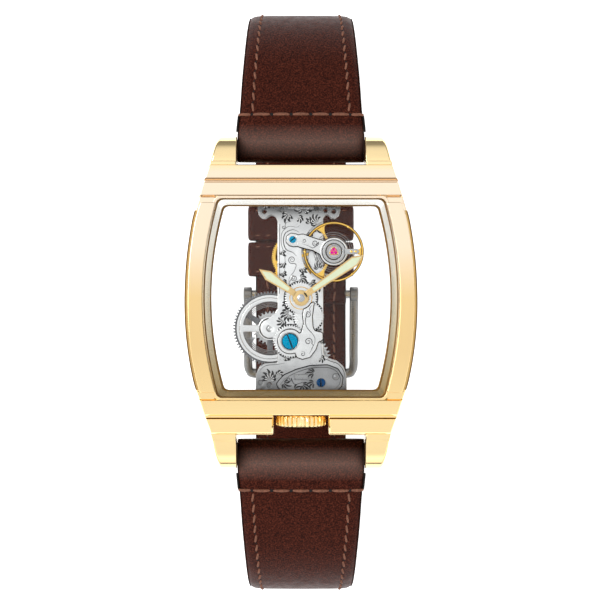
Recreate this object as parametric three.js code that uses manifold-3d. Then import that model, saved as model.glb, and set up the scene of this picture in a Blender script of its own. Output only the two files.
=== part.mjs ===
// Skeleton wristwatch on a closed leather strap. Millimetres, +Z out of the dial, +Y towards
// 12 o'clock, z = 0 on the underside of the strap keepers.
import * as THREE from 'three';
import Module from 'manifold-3d';
import { mergeVertices } from 'three/addons/utils/BufferGeometryUtils.js';

const wasm = await Module();
wasm.setup();

const DEG = Math.PI / 180;

// Case, read across at each height y: half the outer width.
const CASE_SIDE = [
  [26.25, 12.55], [24.9, 13.4], [22.1, 14.15], [19.9, 14.9], [17.4, 15.7], [15.0, 16.4],
  [12.5, 17.05], [7.5, 17.8], [2.6, 18.14], [-2.4, 18.14], [-7.4, 17.7], [-12.3, 16.8],
  [-15.7, 15.7], [-18.2, 14.9], [-20.8, 14.0], [-23.7, 13.45], [-26.25, 12.65],
];
const BEZEL_SIDE = [
  [18.8, 15.2], [16.5, 15.9], [16.4, 15.35], [12.5, 16.45], [7.5, 17.2], [2.6, 17.52],
  [-2.4, 17.52], [-7.4, 17.1], [-12.3, 16.15], [-14.8, 15.35], [-14.9, 15.9], [-17.6, 15.1],
];
const CASE_Z = { low: 29.2, seat: 36.9, wing: 37.3, barB: 38.2, lug: 36.9 };
const OPENING_Y = 0.7;
const LUG_GAP = 10.15;
const SPRING_BAR = { y: 24.2, z: 31.6, r: 0.75, tip: 0.45 };

// Movement: z is counted from the underside of the main plate.
const BASE = 30.6;
const HANDS = [0, 0.7];
const BARREL = [-4.93, -4.11];
const THIRD = [-1.303, 3.999];
const FOURTH = [-0.76, 7.21];
const ESCAPE = [1.947, 4.027];
const PALLET = [2.46, 6.93];
const BALANCE = [5.18, 8.02];
const MINUTE = [1.18, -2.19];
const SETTING = [-1.713, -6.124];
const CROWN_WHEEL = [0, -9.4];
const COCK_SCREW = [-1.3, 9.91];
const COVER_SCREW = [3.16, -12.64];
const STEM_Z = 1.5;
const CROWN = { r: 3.95, inner: -17.6, outer: -19.9, flutes: 28 };

// Strap: centre line of each half, as [y, z, half width, half thickness].
const STRAP_12 = [
  [24.8, 32.1, 10.05, 1.5], [27.0, 32.2, 9.95, 1.55], [30.6, 31.5, 9.75, 1.45],
  [35.2, 29.8, 9.5, 1.35], [39.8, 27.2, 9.2, 1.25], [43.7, 23.6, 8.95, 1.2],
  [46.4, 19.4, 8.75, 1.15], [47.6, 14.8, 8.55, 1.15], [46.8, 10.6, 8.4, 1.12],
  [44.0, 7.3, 8.3, 1.12], [39.2, 5.2, 8.2, 1.1], [33.0, 4.1, 8.1, 1.1],
  [23.5, 3.62, 8, 1.1], [12.0, 3.6, 8, 1.1], [4.6, 3.62, 8, 1.1], [2.4, 3.9, 8, 1.2],
];
const STRAP_6 = [
  [-24.8, 32.1, 10.05, 1.5], [-27.0, 32.2, 9.95, 1.55], [-30.6, 31.5, 9.75, 1.45],
  [-35.2, 29.8, 9.5, 1.35], [-39.8, 27.2, 9.2, 1.25], [-43.7, 23.6, 8.95, 1.2],
  [-46.4, 19.4, 8.75, 1.15], [-47.6, 14.8, 8.55, 1.15], [-46.8, 10.6, 8.4, 1.12],
  [-44.0, 7.3, 8.3, 1.0], [-39.2, 5.2, 8.2, 0.95], [-33.0, 4.1, 8.1, 0.9],
  [-27.0, 3.55, 8, 0.85], [-18.0, 3.14, 8, 0.78], [-12.6, 2.92, 8, 0.74],
  [-8.6, 2.34, 8, 0.72], [-5.4, 1.72, 8, 0.71], [-2.5, 1.56, 8, 0.7], [8.0, 1.55, 8, 0.7],
  [16.0, 1.55, 8, 0.7], [19.4, 1.55, 7.2, 0.7], [21.4, 1.55, 5.2, 0.68], [22.3, 1.55, 2.6, 0.66],
];
const BUCKLE_BAR = { y: 1.4, z: 4.2, r: 0.75 };
const TONGUE_HOLE = { y: -3.85, half: 1.45 };
const KEEPERS = { fixed: [4.6, 10.6], free: [11.0, 17.0], halfWidth: 9.4, top: 5.6 };

const FINISH = {
  gold: { color: 0xe9c98c, roughness: 0.18, metalness: 1 },
  gilt: { color: 0xd9b05a, roughness: 0.3, metalness: 1 },
  rhodium: { color: 0xc9c9c7, roughness: 0.35, metalness: 1 },
  steel: { color: 0xb4b4b2, roughness: 0.25, metalness: 1 },
  blued: { color: 0x0a86b4, roughness: 0.2, metalness: 1 },
  ruby: { color: 0xc4106e, roughness: 0.1, metalness: 0 },
  crystal: { color: 0xf4f8fa, roughness: 0.03, metalness: 0 },
  leather: { color: 0x45221a, roughness: 0.6, metalness: 0 },
  rubber: { color: 0x1c1c1c, roughness: 0.8, metalness: 0 },
};

// ---- solids ----

function toSolid(geometry) {
  const bare = geometry.clone();
  bare.deleteAttribute('normal');
  bare.deleteAttribute('uv');
  const merged = mergeVertices(bare, 1e-5);
  return new wasm.Manifold(new wasm.Mesh({
    numProp: 3,
    vertProperties: new Float32Array(merged.attributes.position.array),
    triVerts: new Uint32Array(merged.index.array),
  }));
}

function toGeometry(solid) {
  const mesh = solid.getMesh();
  const geometry = new THREE.BufferGeometry();
  geometry.setAttribute('position', new THREE.BufferAttribute(mesh.vertProperties, 3));
  geometry.setIndex(new THREE.BufferAttribute(mesh.triVerts, 1));
  geometry.computeVertexNormals();
  return geometry;
}

const join = (...solids) => solids.reduce((sum, next) => sum.add(next));
const cut = (solid, ...tools) => tools.reduce((rest, tool) => rest.subtract(tool), solid);

function flatShape(outline, holes = []) {
  const shape = new THREE.Shape(outline.map(([x, y]) => new THREE.Vector2(x, y)));
  for (const hole of holes) {
    shape.holes.push(new THREE.Path(hole.map(([x, y]) => new THREE.Vector2(x, y))));
  }
  return shape;
}

function prism(outline, low, high, holes = []) {
  const geometry = new THREE.ExtrudeGeometry(flatShape(outline, holes), {
    depth: high - low,
    bevelEnabled: false,
  });
  geometry.translate(0, 0, low);
  return toSolid(geometry);
}

// A profile in (y, z), carried along X from -half to half.
function crossbar(profile, half) {
  const geometry = new THREE.ExtrudeGeometry(flatShape(profile), {
    depth: 2 * half,
    bevelEnabled: false,
  });
  geometry.translate(0, 0, -half);
  geometry.applyMatrix4(new THREE.Matrix4().set(0, 0, 1, 0, 1, 0, 0, 0, 0, 1, 0, 0, 0, 0, 0, 1));
  return toSolid(geometry);
}

function box(low, high) {
  const [x0, y0, z0] = low;
  const [x1, y1, z1] = high;
  return prism([[x0, y0], [x1, y0], [x1, y1], [x0, y1]], z0, z1);
}

function arc(centre, radius, from, to, steps) {
  const points = [];
  for (let i = 0; i <= steps; i += 1) {
    const angle = (from + (to - from) * i / Math.max(steps, 1)) * DEG;
    points.push([centre[0] + radius * Math.cos(angle), centre[1] + radius * Math.sin(angle)]);
  }
  return points;
}

const circle = (centre, radius, steps = 20) => arc(centre, radius, 0, 360 - 360 / steps, steps - 1);

const disc = (centre, radius, low, high, steps = 20) =>
  prism(circle(centre, radius, steps), low, high);

// A shaft along X or Y through (across, z), from start to end.
function shaft(axis, across, z, radius, start, end, steps = 16) {
  const geometry = new THREE.CylinderGeometry(radius, radius, end - start, steps);
  if (axis === 'x') {
    geometry.rotateZ(Math.PI / 2);
    geometry.translate((start + end) / 2, across, z);
  } else {
    geometry.translate(across, (start + end) / 2, z);
  }
  return toSolid(geometry);
}

// A solid through outlines of equal length at rising heights.
function stack(layers) {
  const count = layers[0].points.length;
  const positions = layers.flatMap(({ points, z }) => points.flatMap(([x, y]) => [x, y, z]));
  const index = [];
  for (let level = 0; level + 1 < layers.length; level += 1) {
    for (let i = 0; i < count; i += 1) {
      const a = level * count + i;
      const b = level * count + (i + 1) % count;
      index.push(a, b, b + count, a, b + count, a + count);
    }
  }
  const flat = layers[0].points.map(([x, y]) => new THREE.Vector2(x, y));
  const top = (layers.length - 1) * count;
  for (const [a, b, c] of THREE.ShapeUtils.triangulateShape(flat, [])) {
    index.push(a, c, b, top + a, top + b, top + c);
  }
  return new wasm.Manifold(new wasm.Mesh({
    numProp: 3,
    vertProperties: new Float32Array(positions),
    triVerts: new Uint32Array(index),
  }));
}

function mirrored(side) {
  const right = side.map(([y, x]) => [x, y]).reverse();
  const left = side.map(([y, x]) => [-x, y]);
  return [...right, ...left];
}

// The dial opening: straight top and bottom, bowed sides, small round corners.
function opening(halfHeight, middle, corner, round = 0.8) {
  const right = [];
  const steps = 6;
  for (let i = 0; i <= steps; i += 1) {
    const y = (halfHeight - round) * (2 * i / steps - 1);
    const x = middle - (middle - corner) * (y / halfHeight) ** 2;
    right.push([x, y]);
  }
  const inset = 0.3 * round;
  const last = right[right.length - 1];
  right.push([last[0] - inset, halfHeight - inset], [last[0] - round - inset, halfHeight]);
  right.unshift([last[0] - round - inset, -halfHeight], [last[0] - inset, inset - halfHeight]);
  const left = right.map(([x, y]) => [-x, y]).reverse();
  return [...right, ...left].map(([x, y]) => [x, y + OPENING_Y]);
}

// ---- wheels ----

// Toothed outline; a flat of 0 gives plain pointed teeth with two points each.
function teeth(centre, count, pitch, phase, flat = 0, tip = 0.9, root = 1.15) {
  const module = 2 * pitch / count;
  const step = 360 / count;
  const points = [];
  for (let i = 0; i < count; i += 1) {
    const at = phase + i * step;
    const outer = pitch + tip * module;
    const inner = pitch - root * module;
    if (flat) {
      points.push(...arc(centre, inner, at - 0.34 * step, at - 0.33 * step, 0));
      points.push(...arc(centre, outer, at - flat * step, at + flat * step, 1));
      points.push(...arc(centre, inner, at + 0.34 * step, at + 0.35 * step, 0));
    } else {
      points.push(...arc(centre, outer, at, at, 0));
      points.push(...arc(centre, inner, at + 0.5 * step, at, 0));
    }
  }
  return points;
}

const bearing = (from, to) => Math.atan2(to[1] - from[1], to[0] - from[0]) / DEG;

// The phase that puts a gap of wheel b where wheel a has a tooth.
const meshed = (phaseA, countA, angle, countB) =>
  angle + 180 - (phaseA - angle) * countA / countB + 180 / countB;

function windows(centre, inner, outer, arms, armWidth, turn = 0, steps = 4) {
  const holes = [];
  for (let i = 0; i < arms; i += 1) {
    const from = turn + 360 / arms * i;
    const to = from + 360 / arms;
    const near = armWidth / 2 / inner / DEG;
    const far = armWidth / 2 / outer / DEG;
    holes.push([
      ...arc(centre, outer, from + far, to - far, steps),
      ...arc(centre, inner, to - near, from + near, Math.max(2, steps - 2)),
    ]);
  }
  return holes;
}

function wheel(centre, rim, low, high, bore, holes = []) {
  return prism(rim, low, high, bore ? [circle(centre, bore, 12), ...holes] : holes);
}

// ---- case ----

const screwSpots = [[13.6, 18.1], [-13.6, 18.1], [13.6, -16.9], [-13.6, -16.9]];

const caseProfile = [
  [-26.25, 29.9], [-25.4, 29.0], [-24.0, 28.8], [-20.6, CASE_Z.low], [20.6, CASE_Z.low],
  [24.0, 28.8], [25.4, 29.0], [26.25, 29.9], [26.25, 33.4], [25.8, 35.0], [24.8, 36.1],
  [23.2, 36.7], [21.6, CASE_Z.lug], [21.5, 36.3], [21.3, 36.3], [21.25, 37.5], [20.9, 37.9],
  [19.2, CASE_Z.barB], [19.0, 37.6], [18.9, CASE_Z.seat], [15.4, CASE_Z.seat],
  [14.6, CASE_Z.wing], [-13.8, CASE_Z.wing], [-14.6, CASE_Z.seat], [-17.7, CASE_Z.seat],
  [-17.8, 37.6], [-18.0, CASE_Z.barB], [-20.1, 37.9], [-20.45, 37.5], [-20.5, 36.3],
  [-20.7, 36.3], [-20.8, CASE_Z.lug], [-23.2, 36.7], [-24.8, 36.1], [-25.8, 35.0],
  [-26.25, 33.4],
];

function caseMiddle() {
  const body = prism(mirrored(CASE_SIDE), 28, 39).intersect(crossbar(caseProfile, 19));
  const bezelBed = prism(mirrored(BEZEL_SIDE.map(([y, x]) => [y, x + 0.03])), CASE_Z.seat, 40);
  const cavity = prism(opening(15.95, 15.45, 13.15), 27, 40);
  const lugGaps = [1, -1].map((side) => box(
    [-LUG_GAP, Math.min(side * 21.6, side * 27), 27],
    [LUG_GAP, Math.max(side * 21.6, side * 27), 40],
  ));
  const barHoles = [1, -1].map((side) =>
    shaft('x', side * SPRING_BAR.y, SPRING_BAR.z, SPRING_BAR.tip + 0.04, -11.5, 11.5, 8));
  const crownNotch = box([-4.3, -22, 27], [4.3, -17.55, 40]);
  const stemBore = shaft('y', 0, BASE + STEM_Z, 1.0, -19, -14, 16);
  const screwHoles = screwSpots.map((spot) => disc(spot, 0.5, 28, 30.7, 8));
  const clampPockets = [
    box([-2.3, 16, BASE + 3.5], [2.3, 17.9, 37.2]),
    box([-2.3, -16.7, BASE + 3.5], [2.3, -15, 37.2]),
  ];
  return cut(body, bezelBed, cavity, ...lugGaps, ...barHoles, crownNotch, stemBore,
    ...screwHoles, ...clampPockets);
}

function bezel() {
  const shrink = (amount) => mirrored(BEZEL_SIDE.map(([y, x]) => [y, x - amount]));
  const block = stack([
    { points: shrink(0), z: CASE_Z.seat },
    { points: shrink(0), z: 38.5 },
    { points: shrink(0.5), z: 39.2 },
  ]);
  const profile = [
    [-17.6, 36], [18.8, 36], [18.8, 38.3], [18.4, 38.7], [16.6, 38.95], [16.4, 39.2],
    [-14.9, 39.2], [-15.1, 38.95], [-17.2, 38.7], [-17.6, 38.3],
  ];
  const lip = stack([
    { points: opening(15.5, 15.3, 13.0), z: 38.7 },
    { points: opening(15.5, 15.3, 13.0), z: 38.9 },
    { points: opening(15.7, 15.5, 13.2), z: 39.3 },
  ]);
  return cut(block.intersect(crossbar(profile, 19)), prism(opening(15.82, 15.62, 13.32), 36, 38.8),
    lip);
}

function bowedRing(outer, inner, low, high) {
  return cut(prism(opening(...outer), low, high), prism(opening(...inner), low - 1, high + 1));
}

function innerFlange() {
  const outer = prism(opening(15.78, 15.4, 13.1), 35.9, 37.15);
  const bevel = stack([
    { points: opening(14.5, 14.15, 12.2), z: 35.8 },
    { points: opening(14.5, 14.15, 12.2), z: 36.1 },
    { points: opening(15.5, 15.2, 12.95), z: 37.2 },
  ]);
  return cut(outer, bevel);
}

function caseBack() {
  const side = CASE_SIDE.filter(([y]) => Math.abs(y) < 20.5);
  const shrink = (amount) => mirrored(side.map(([y, x]) => [y, x - amount]));
  const plate = stack([
    { points: shrink(1.6), z: 28.0 },
    { points: shrink(0.8), z: 28.7 },
    { points: shrink(0.8), z: CASE_Z.low - 0.01 },
  ]);
  const crownNotch = box([-4.3, -22, 27], [4.3, -17.55, 40]);
  const seats = screwSpots.map((spot) => join(
    disc(spot, 0.95, 27, 28.61, 12),
    disc(spot, 0.5, 27, 30, 8),
  ));
  return cut(plate, crownNotch, prism(opening(15.82, 15.62, 13.32), 28.15, 30),
    prism(opening(15.2, 15.0, 12.7), 27, 30), ...seats);
}

function slottedScrew(centre, radius, seat, top, shank, foot, angle, slot = 0.22) {
  const head = join(disc(centre, radius, seat, top, 14), disc(centre, shank, foot, seat + 0.05, 8));
  const across = radius + 0.1;
  const [c, s] = [Math.cos(angle * DEG), Math.sin(angle * DEG)];
  const corners = [[-across, -slot / 2], [across, -slot / 2], [across, slot / 2], [-across, slot / 2]];
  const turned = corners.map(([x, y]) => [centre[0] + x * c - y * s, centre[1] + x * s + y * c]);
  const depth = 0.4 * Math.abs(top - seat);
  return cut(head, prism(turned, top - depth, top + 1));
}

function caseBackScrew(spot, angle) {
  const solid = join(disc(spot, 0.9, 28.05, 28.6, 12), disc(spot, 0.45, 28.5, 30.6, 8));
  const [c, s] = [Math.cos(angle * DEG), Math.sin(angle * DEG)];
  const corners = [[-1, -0.12], [1, -0.12], [1, 0.12], [-1, 0.12]];
  const turned = corners.map(([x, y]) => [spot[0] + x * c - y * s, spot[1] + x * s + y * c]);
  return cut(solid, prism(turned, 27.8, 28.25));
}

function springBar(side) {
  const y = side * SPRING_BAR.y;
  return join(
    shaft('x', y, SPRING_BAR.z, SPRING_BAR.r, -10.1, 10.1, 12),
    shaft('x', y, SPRING_BAR.z, SPRING_BAR.tip, -11.3, 11.3, 10),
  );
}

// ---- strap ----

function strapBand(path) {
  const ring = (w, t) => [
    [-w, -0.3 * t], [-w + 0.45, -t], [w - 0.45, -t], [w, -0.3 * t],
    [w, 0.35 * t], [w - 0.7, 0.9 * t], [0, 1.04 * t], [-w + 0.7, 0.9 * t], [-w, 0.35 * t],
  ];
  const side = Math.sign(path[0][0]);
  const positions = [];
  path.forEach(([y, z, w, t], i) => {
    const before = path[Math.max(i - 1, 0)];
    const after = path[Math.min(i + 1, path.length - 1)];
    const dy = after[0] - before[0];
    const dz = after[1] - before[1];
    const length = Math.hypot(dy, dz);
    const outward = [-side * dz / length, side * dy / length];
    for (const [x, h] of ring(w, t)) {
      positions.push(x, y + outward[0] * h, z + outward[1] * h);
    }
  });
  const count = 9;
  const index = [];
  for (let k = 0; k + 1 < path.length; k += 1) {
    for (let i = 0; i < count; i += 1) {
      const a = k * count + i;
      const b = k * count + (i + 1) % count;
      index.push(a, b + count, b, a, a + count, b + count);
    }
  }
  const last = (path.length - 1) * count;
  for (let i = 1; i + 1 < count; i += 1) {
    index.push(0, i, i + 1, last, last + i + 1, last + i);
  }
  if (side < 0) {
    for (let i = 0; i < index.length; i += 3) {
      [index[i + 1], index[i + 2]] = [index[i + 2], index[i + 1]];
    }
  }
  return new wasm.Manifold(new wasm.Mesh({
    numProp: 3,
    vertProperties: new Float32Array(positions),
    triVerts: new Uint32Array(index),
  }));
}

function strap12() {
  const fold = shaft('x', SPRING_BAR.y, SPRING_BAR.z, 1.7, -10.05, 10.05, 16);
  const buckleFold = shaft('x', BUCKLE_BAR.y, BUCKLE_BAR.z, 1.75, -8, 8, 16);
  const tongueSlot = box([-1.25, -2, 1], [1.25, 4, 7]);
  return cut(join(strapBand(STRAP_12), fold, buckleFold),
    shaft('x', SPRING_BAR.y, SPRING_BAR.z, SPRING_BAR.r + 0.03, -12, 12, 12),
    shaft('x', BUCKLE_BAR.y, BUCKLE_BAR.z, BUCKLE_BAR.r + 0.03, -12, 12, 12), tongueSlot);
}

function strap6() {
  const fold = shaft('x', -SPRING_BAR.y, SPRING_BAR.z, 1.7, -10.05, 10.05, 16);
  const oval = (y, half) => [
    ...arc([0, y + half], 0.95, 0, 180, 3),
    ...arc([0, y - half], 0.95, 180, 360, 3),
  ];
  const holes = [-17.4, -10.9, 2.0, 8.5].map((y) => prism(oval(y, 0.4), -1, 6));
  return cut(join(strapBand(STRAP_6), fold),
    shaft('x', -SPRING_BAR.y, SPRING_BAR.z, SPRING_BAR.r + 0.03, -12, 12, 12),
    prism(oval(TONGUE_HOLE.y, TONGUE_HOLE.half), -1, 6), ...holes);
}

function keeper([near, far]) {
  const { halfWidth: w, top } = KEEPERS;
  const outer = [[-w, 0.3], [-w + 0.3, 0], [w - 0.3, 0], [w, 0.3], [w, top - 0.4],
    [w - 0.4, top], [-w + 0.4, top], [-w, top - 0.4]];
  const inner = [[-w + 0.8, 0.78], [w - 0.8, 0.78], [w - 0.8, top - 0.75], [-w + 0.8, top - 0.75]];
  const geometry = new THREE.ExtrudeGeometry(flatShape(outer, [inner]), {
    depth: far - near,
    bevelEnabled: false,
  });
  geometry.rotateX(Math.PI / 2);
  geometry.translate(0, far, 0);
  return toSolid(geometry);
}

function buckleFrame() {
  const armProfile = [
    [2.5, 3.2], [2.5, 5.2], [1.4, 5.6], [0, 5.2], [-7, 3.4], [-12, 2.15], [-13.6, 1.9],
    [-13.6, 1.1], [-13, 0.8], [-11.6, 0.8], [-7, 1.3], [0.6, 3.0],
  ];
  const arms = crossbar(armProfile, 10.2).subtract(box([-8.65, -20, -1], [8.65, 20, 9]));
  const farBar = crossbar([[-13.6, 1.1], [-13.2, 0.8], [-11.9, 0.8], [-11.6, 1.1], [-11.6, 1.8],
    [-11.9, 2.05], [-13.2, 2.05], [-13.6, 1.8]], 10.2);
  const bore = shaft('x', BUCKLE_BAR.y, BUCKLE_BAR.z, BUCKLE_BAR.r + 0.03, -12, 12, 12);
  return join(arms, farBar).subtract(bore);
}

function buckleTongue() {
  const profile = [
    [1.4, 5.4], [0.4, 5.1], [-0.4, 4.4], [-2.5, 3.6], [-4.4, 1.9], [-5.75, 0.72], [-13.9, 0.72],
    [-14.2, 0.4], [-13.9, 0.05], [-6.2, 0.05], [-3.75, 1.3], [-2.9, 2.6], [0.6, 3.15],
    [1.4, 3.0], [2.4, 3.5], [2.6, 4.2], [2.4, 4.9],
  ];
  return crossbar(profile.reverse(), 0.75)
    .subtract(shaft('x', BUCKLE_BAR.y, BUCKLE_BAR.z, BUCKLE_BAR.r + 0.03, -3, 3, 12));
}

// ---- movement plates ----

const plateOutline = [
  [3.5, -7.6], [3.7, -8.4], [4.5, -8.95], [5.7, -9.3], [6.7, -10.1], [7.2, -11.4],
  [7.25, -15.2], [-7.15, -15.2], [-7.15, -11.4], [-6.6, -10.2], [-5.6, -9.6], [-3.7, -9.5],
  [-3.7, 12.9], [-4.0, 13.6], [-4.6, 13.9], [-5.1, 13.7], [-5.6, 13.3], [-6.2, 13.4],
  [-6.7, 13.9], [-6.85, 14.6], [-6.85, 16.1], [6.25, 16.1], [6.25, 14.6], [6.05, 13.8],
  [5.4, 13.3], [4.8, 13.35], [4.4, 13.8], [3.9, 13.9], [3.5, 13.3],
].reverse();

const FLANGE_HOLES = [[-5.75, 14.45], [-3.0, 14.7], [2.4, 14.95], [3.9, 14.6], [5.2, 14.4]];
const BASE_HOLES = [[-6.4, -12.7], [-5.0, -13.05]];

function mainPlate() {
  const floor = prism(plateOutline, 0, 0.8);
  const lobe = disc(BALANCE, 1.75, 0, 0.8, 20);
  const barrelFloor = disc(BARREL, 1.6, 0, 0.8, 16);
  const barrelArm = box([-4.93, -5.7, 0], [-3.5, -2.5, 0.8]);
  const topBlock = box([-3.6, 13.4, 0.7], [3.4, 16.05, 2.79]);
  const baseBlock = prism([[6.9, -10.7], [6.9, -15.1], [-6.9, -15.1], [-6.9, -11.4],
    [-2.6, -10.6], [2.6, -9.9], [5.4, -9.7]].reverse(), 0.7, 2.79);
  const stemSlot = box([-1.75, -15.9, -0.5], [1.75, -10.2, 3]);
  const pins = [
    disc(BARREL, 0.85, -1, 1, 12), disc(HANDS, 0.42, -1, 1, 10), disc(FOURTH, 0.12, -1, 1, 8),
    disc(ESCAPE, 0.12, -1, 1, 8), disc(BALANCE, 0.12, -1, 1, 8),
  ];
  const bores = [...FLANGE_HOLES, ...BASE_HOLES].map((spot) => disc(spot, 0.36, -1, 3, 8));
  const cocked = disc(CROWN_WHEEL, 0.6, -0.6, 0.1, 12);
  const body = cut(join(floor, lobe, barrelFloor, barrelArm, topBlock, baseBlock), stemSlot,
    ...pins, ...bores);
  return join(body, cocked);
}

function trainBridge() {
  const deck = prism(plateOutline, 2.8, 3.5);
  const lobe = join(
    disc(BARREL, 1.5, 2.8, 3.5, 18),
    prism([[-4.5, -5.6], [-3.4, -5.9], [-3.4, -1.2], [-4.1, -1.7], [-5.3, -2.7]], 2.8, 3.5),
  );
  const recess = disc(BALANCE, 5.1, 2.2, 4, 36);
  const column = box([-3.7, 1, 1.8], [3.5, 13.5, 3.5]);
  const rib = disc(BALANCE, 5.42, 1.8, 3.5, 36).intersect(column);
  const window = [
    [-0.5, 8.3], [-0.6, 6.2], [0.4, 3.6], [1.0, 3.1], [1.7, 4.6], [1.75, 5.6], [1.2, 6.6],
    [1.3, 7.8], [2.0, 8.6], [1.4, 9.6], [0.3, 9.6],
  ].reverse();
  const shafts = [
    disc(HANDS, 0.62, 2, 4, 12), disc(THIRD, 0.27, 2, 4, 10), disc(FOURTH, 0.27, 2, 4, 10),
    disc(BARREL, 0.5, 2, 4, 10), disc(PALLET, 0.14, 1, 4, 8), disc(ESCAPE, 0.14, 1, 4, 8),
  ];
  const bores = [...FLANGE_HOLES, ...BASE_HOLES].map((spot) => disc(spot, 0.36, 2, 4, 8));
  const screwHoles = [
    disc(COCK_SCREW, 0.32, 2, 4, 8), disc(COVER_SCREW, 0.34, 2, 4, 8),
    disc(SETTING, 0.42, 2, 4, 8), disc(MINUTE, 0.3, 2, 4, 8),
  ];
  const clutchWindow = box([-1.3, -15.4, 2], [1.3, -10.7, 3]);
  const clutchView = box([-1.0, -12.2, 2], [1.1, -11.0, 4]);
  return cut(join(deck, lobe, rib), recess.intersect(box([-1, 1, 2.2], [12, 14, 4])),
    prism(window, 1, 2.3), ...shafts, ...bores, ...screwHoles, clutchWindow, clutchView);
}

function balanceCock() {
  const foot = prism([[-0.5, 8.9], [0.2, 8.6], [0.15, 10.3], [-0.7, 10.75], [-1.6, 10.9],
    [-2.25, 10.4], [-2.3, 9.5], [-1.8, 9.0], [-1.2, 8.85]], 3.51, 4.3);
  const arm = prism([[-0.6, 8.9], [0.8, 8.5], [1.9, 8.25], [3.4, 7.4], [4.2, 9.6], [2.8, 9.9],
    [1.4, 10.35], [0.4, 10.75], [-0.8, 10.6]], 3.7, 4.3);
  const ring = disc(BALANCE, 2.2, 3.7, 4.3, 32);
  const screwBore = disc(COCK_SCREW, 0.32, 3, 5, 8);
  return cut(join(foot, arm, ring), disc(BALANCE, 1.3, 3, 5, 24), screwBore);
}

function balanceJewel() {
  const setting = prism(circle(BALANCE, 1.22, 16), 3.8, 4.4, [circle(BALANCE, 0.16, 8)]);
  return join(setting, prism(circle(BALANCE, 0.45, 12), 4.35, 4.6, [circle(BALANCE, 0.16, 8)]));
}

function studCarrier() {
  const collar = prism(circle(BALANCE, 1.75, 18), 4.32, 4.5, [circle(BALANCE, 1.35, 18)]);
  const arm = prism([[6.75, 7.55], [7.4, 7.62], [8.9, 7.62], [9.25, 8.02], [8.9, 8.42],
    [7.4, 8.42], [6.75, 8.5]], 4.32, 4.5);
  const stud = disc([8.55, 8.02], 0.13, 3.36, 4.4, 8);
  return join(collar, arm, stud);
}

function spiral(centre, from, to, turns, thickness, low, high, perTurn, start = 0) {
  const count = Math.round(turns * perTurn);
  const line = (offset) => {
    const points = [];
    for (let i = 0; i <= count; i += 1) {
      const radius = from + (to - from) * i / count + offset;
      const angle = (start + 360 * turns * i / count) * DEG;
      points.push([centre[0] + radius * Math.cos(angle), centre[1] + radius * Math.sin(angle)]);
    }
    return points;
  };
  return prism([...line(thickness / 2), ...line(-thickness / 2).reverse()], low, high);
}

function motionCover() {
  const plate = prism([
    ...arc(HANDS, 1.8, -75, -28, 4), [2.05, 0.1], [1.95, -0.7], [1.75, -2.2], [1.85, -3.9],
    [2.2, -4.5], [3.45, -4.7], [3.45, -5.9], [2.7, -6.2], [2.3, -7.4], [1.4, -8.6],
    [0.2, -8.9], [-0.6, -8.6], [-0.9, -7.9], ...arc(SETTING, 1.9, -70, -320, 14),
    [0.1, -4.7], [0.45, -3.4], [0.3, -2.0],
  ], 4.3, 4.7);
  const post = disc(SETTING, 0.9, 3.51, 4.4, 14);
  const foot = prism([[0.3, -8.75], [0.95, -7.6], [1.9, -7.4], [1.4, -8.5]].reverse(), 3.51, 4.4);
  const sideFoot = box([2.55, -5.9, 3.51], [3.4, -4.9, 4.4]);
  const screwSeat = join(disc(SETTING, 1.3, 4.45, 5, 20), disc(SETTING, 0.42, 3, 5, 10));
  return cut(join(plate, post, foot, sideFoot), screwSeat);
}

function settingCover() {
  const plate = prism([[-3.9, -12.9], [-2.7, -11.5], [-0.7, -10.6], [1.5, -10.0], [4.2, -9.9],
    [5.8, -10.5], [6.6, -11.8], [6.4, -13.2], [5.2, -14.3], [-2.9, -14.3]].reverse(), 3.51, 3.95,
  [circle(COVER_SCREW, 0.34, 8).reverse(),
    [[-1.0, -12.2], [1.1, -12.2], [1.1, -11.4], [-1.0, -11.4]]]);
  return join(plate, disc([5.5, -11.7], 0.3, 3.9, 4.1, 12));
}

// ---- moving pieces ----

const CENTRE_PINION = { n: 14, r: 1.148 };
const phaseCentre = bearing(HANDS, BARREL);
const phaseThirdPinion = bearing(THIRD, HANDS);
const phaseThirdWheel = bearing(THIRD, FOURTH);
const phaseFourthWheel = bearing(FOURTH, ESCAPE);
const phaseCannon = bearing(HANDS, MINUTE);
const phaseMinuteWheel = meshed(phaseCannon, 12, bearing(HANDS, MINUTE), 36);
const phaseMinutePinion = bearing(MINUTE, HANDS);
const phaseHour = meshed(phaseMinutePinion, 10, bearing(MINUTE, HANDS), 40);
const phaseSetting = meshed(phaseMinuteWheel, 36, bearing(MINUTE, SETTING), 39);

function arbor(centre, steps) {
  return join(...steps.map(([radius, low, high, sides = 8]) =>
    disc(centre, radius, low, high, sides)));
}

function barrelDrum() {
  const phase = meshed(phaseCentre, 14, bearing(HANDS, BARREL), 70);
  const flange = prism(teeth(BARREL, 70, 5.74, phase, 0, 0.95, 1.1), 2.0, 2.39,
    [circle(BARREL, 4.95, 24)]);
  const wall = prism(circle(BARREL, 5.45, 24), 0.9, 2.05, [circle(BARREL, 4.95, 24)]);
  const floor = prism(circle(BARREL, 5.2, 24), 0.9, 1.15,
    [circle(BARREL, 0.85, 12), ...windows(BARREL, 1.7, 4.2, 3, 0.9, 30, 4)]);
  return join(flange, wall, floor);
}

function barrelCover() {
  return prism(circle(BARREL, 4.85, 24), 2.2, 2.42,
    [circle(BARREL, 0.85, 12), ...windows(BARREL, 1.9, 4.25, 3, 1.1, 70, 6)]);
}

function barrelArbor() {
  return arbor(BARREL, [[0.8, -0.14, 2.5, 10], [0.46, -0.5, 3.4, 8]]);
}

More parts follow.
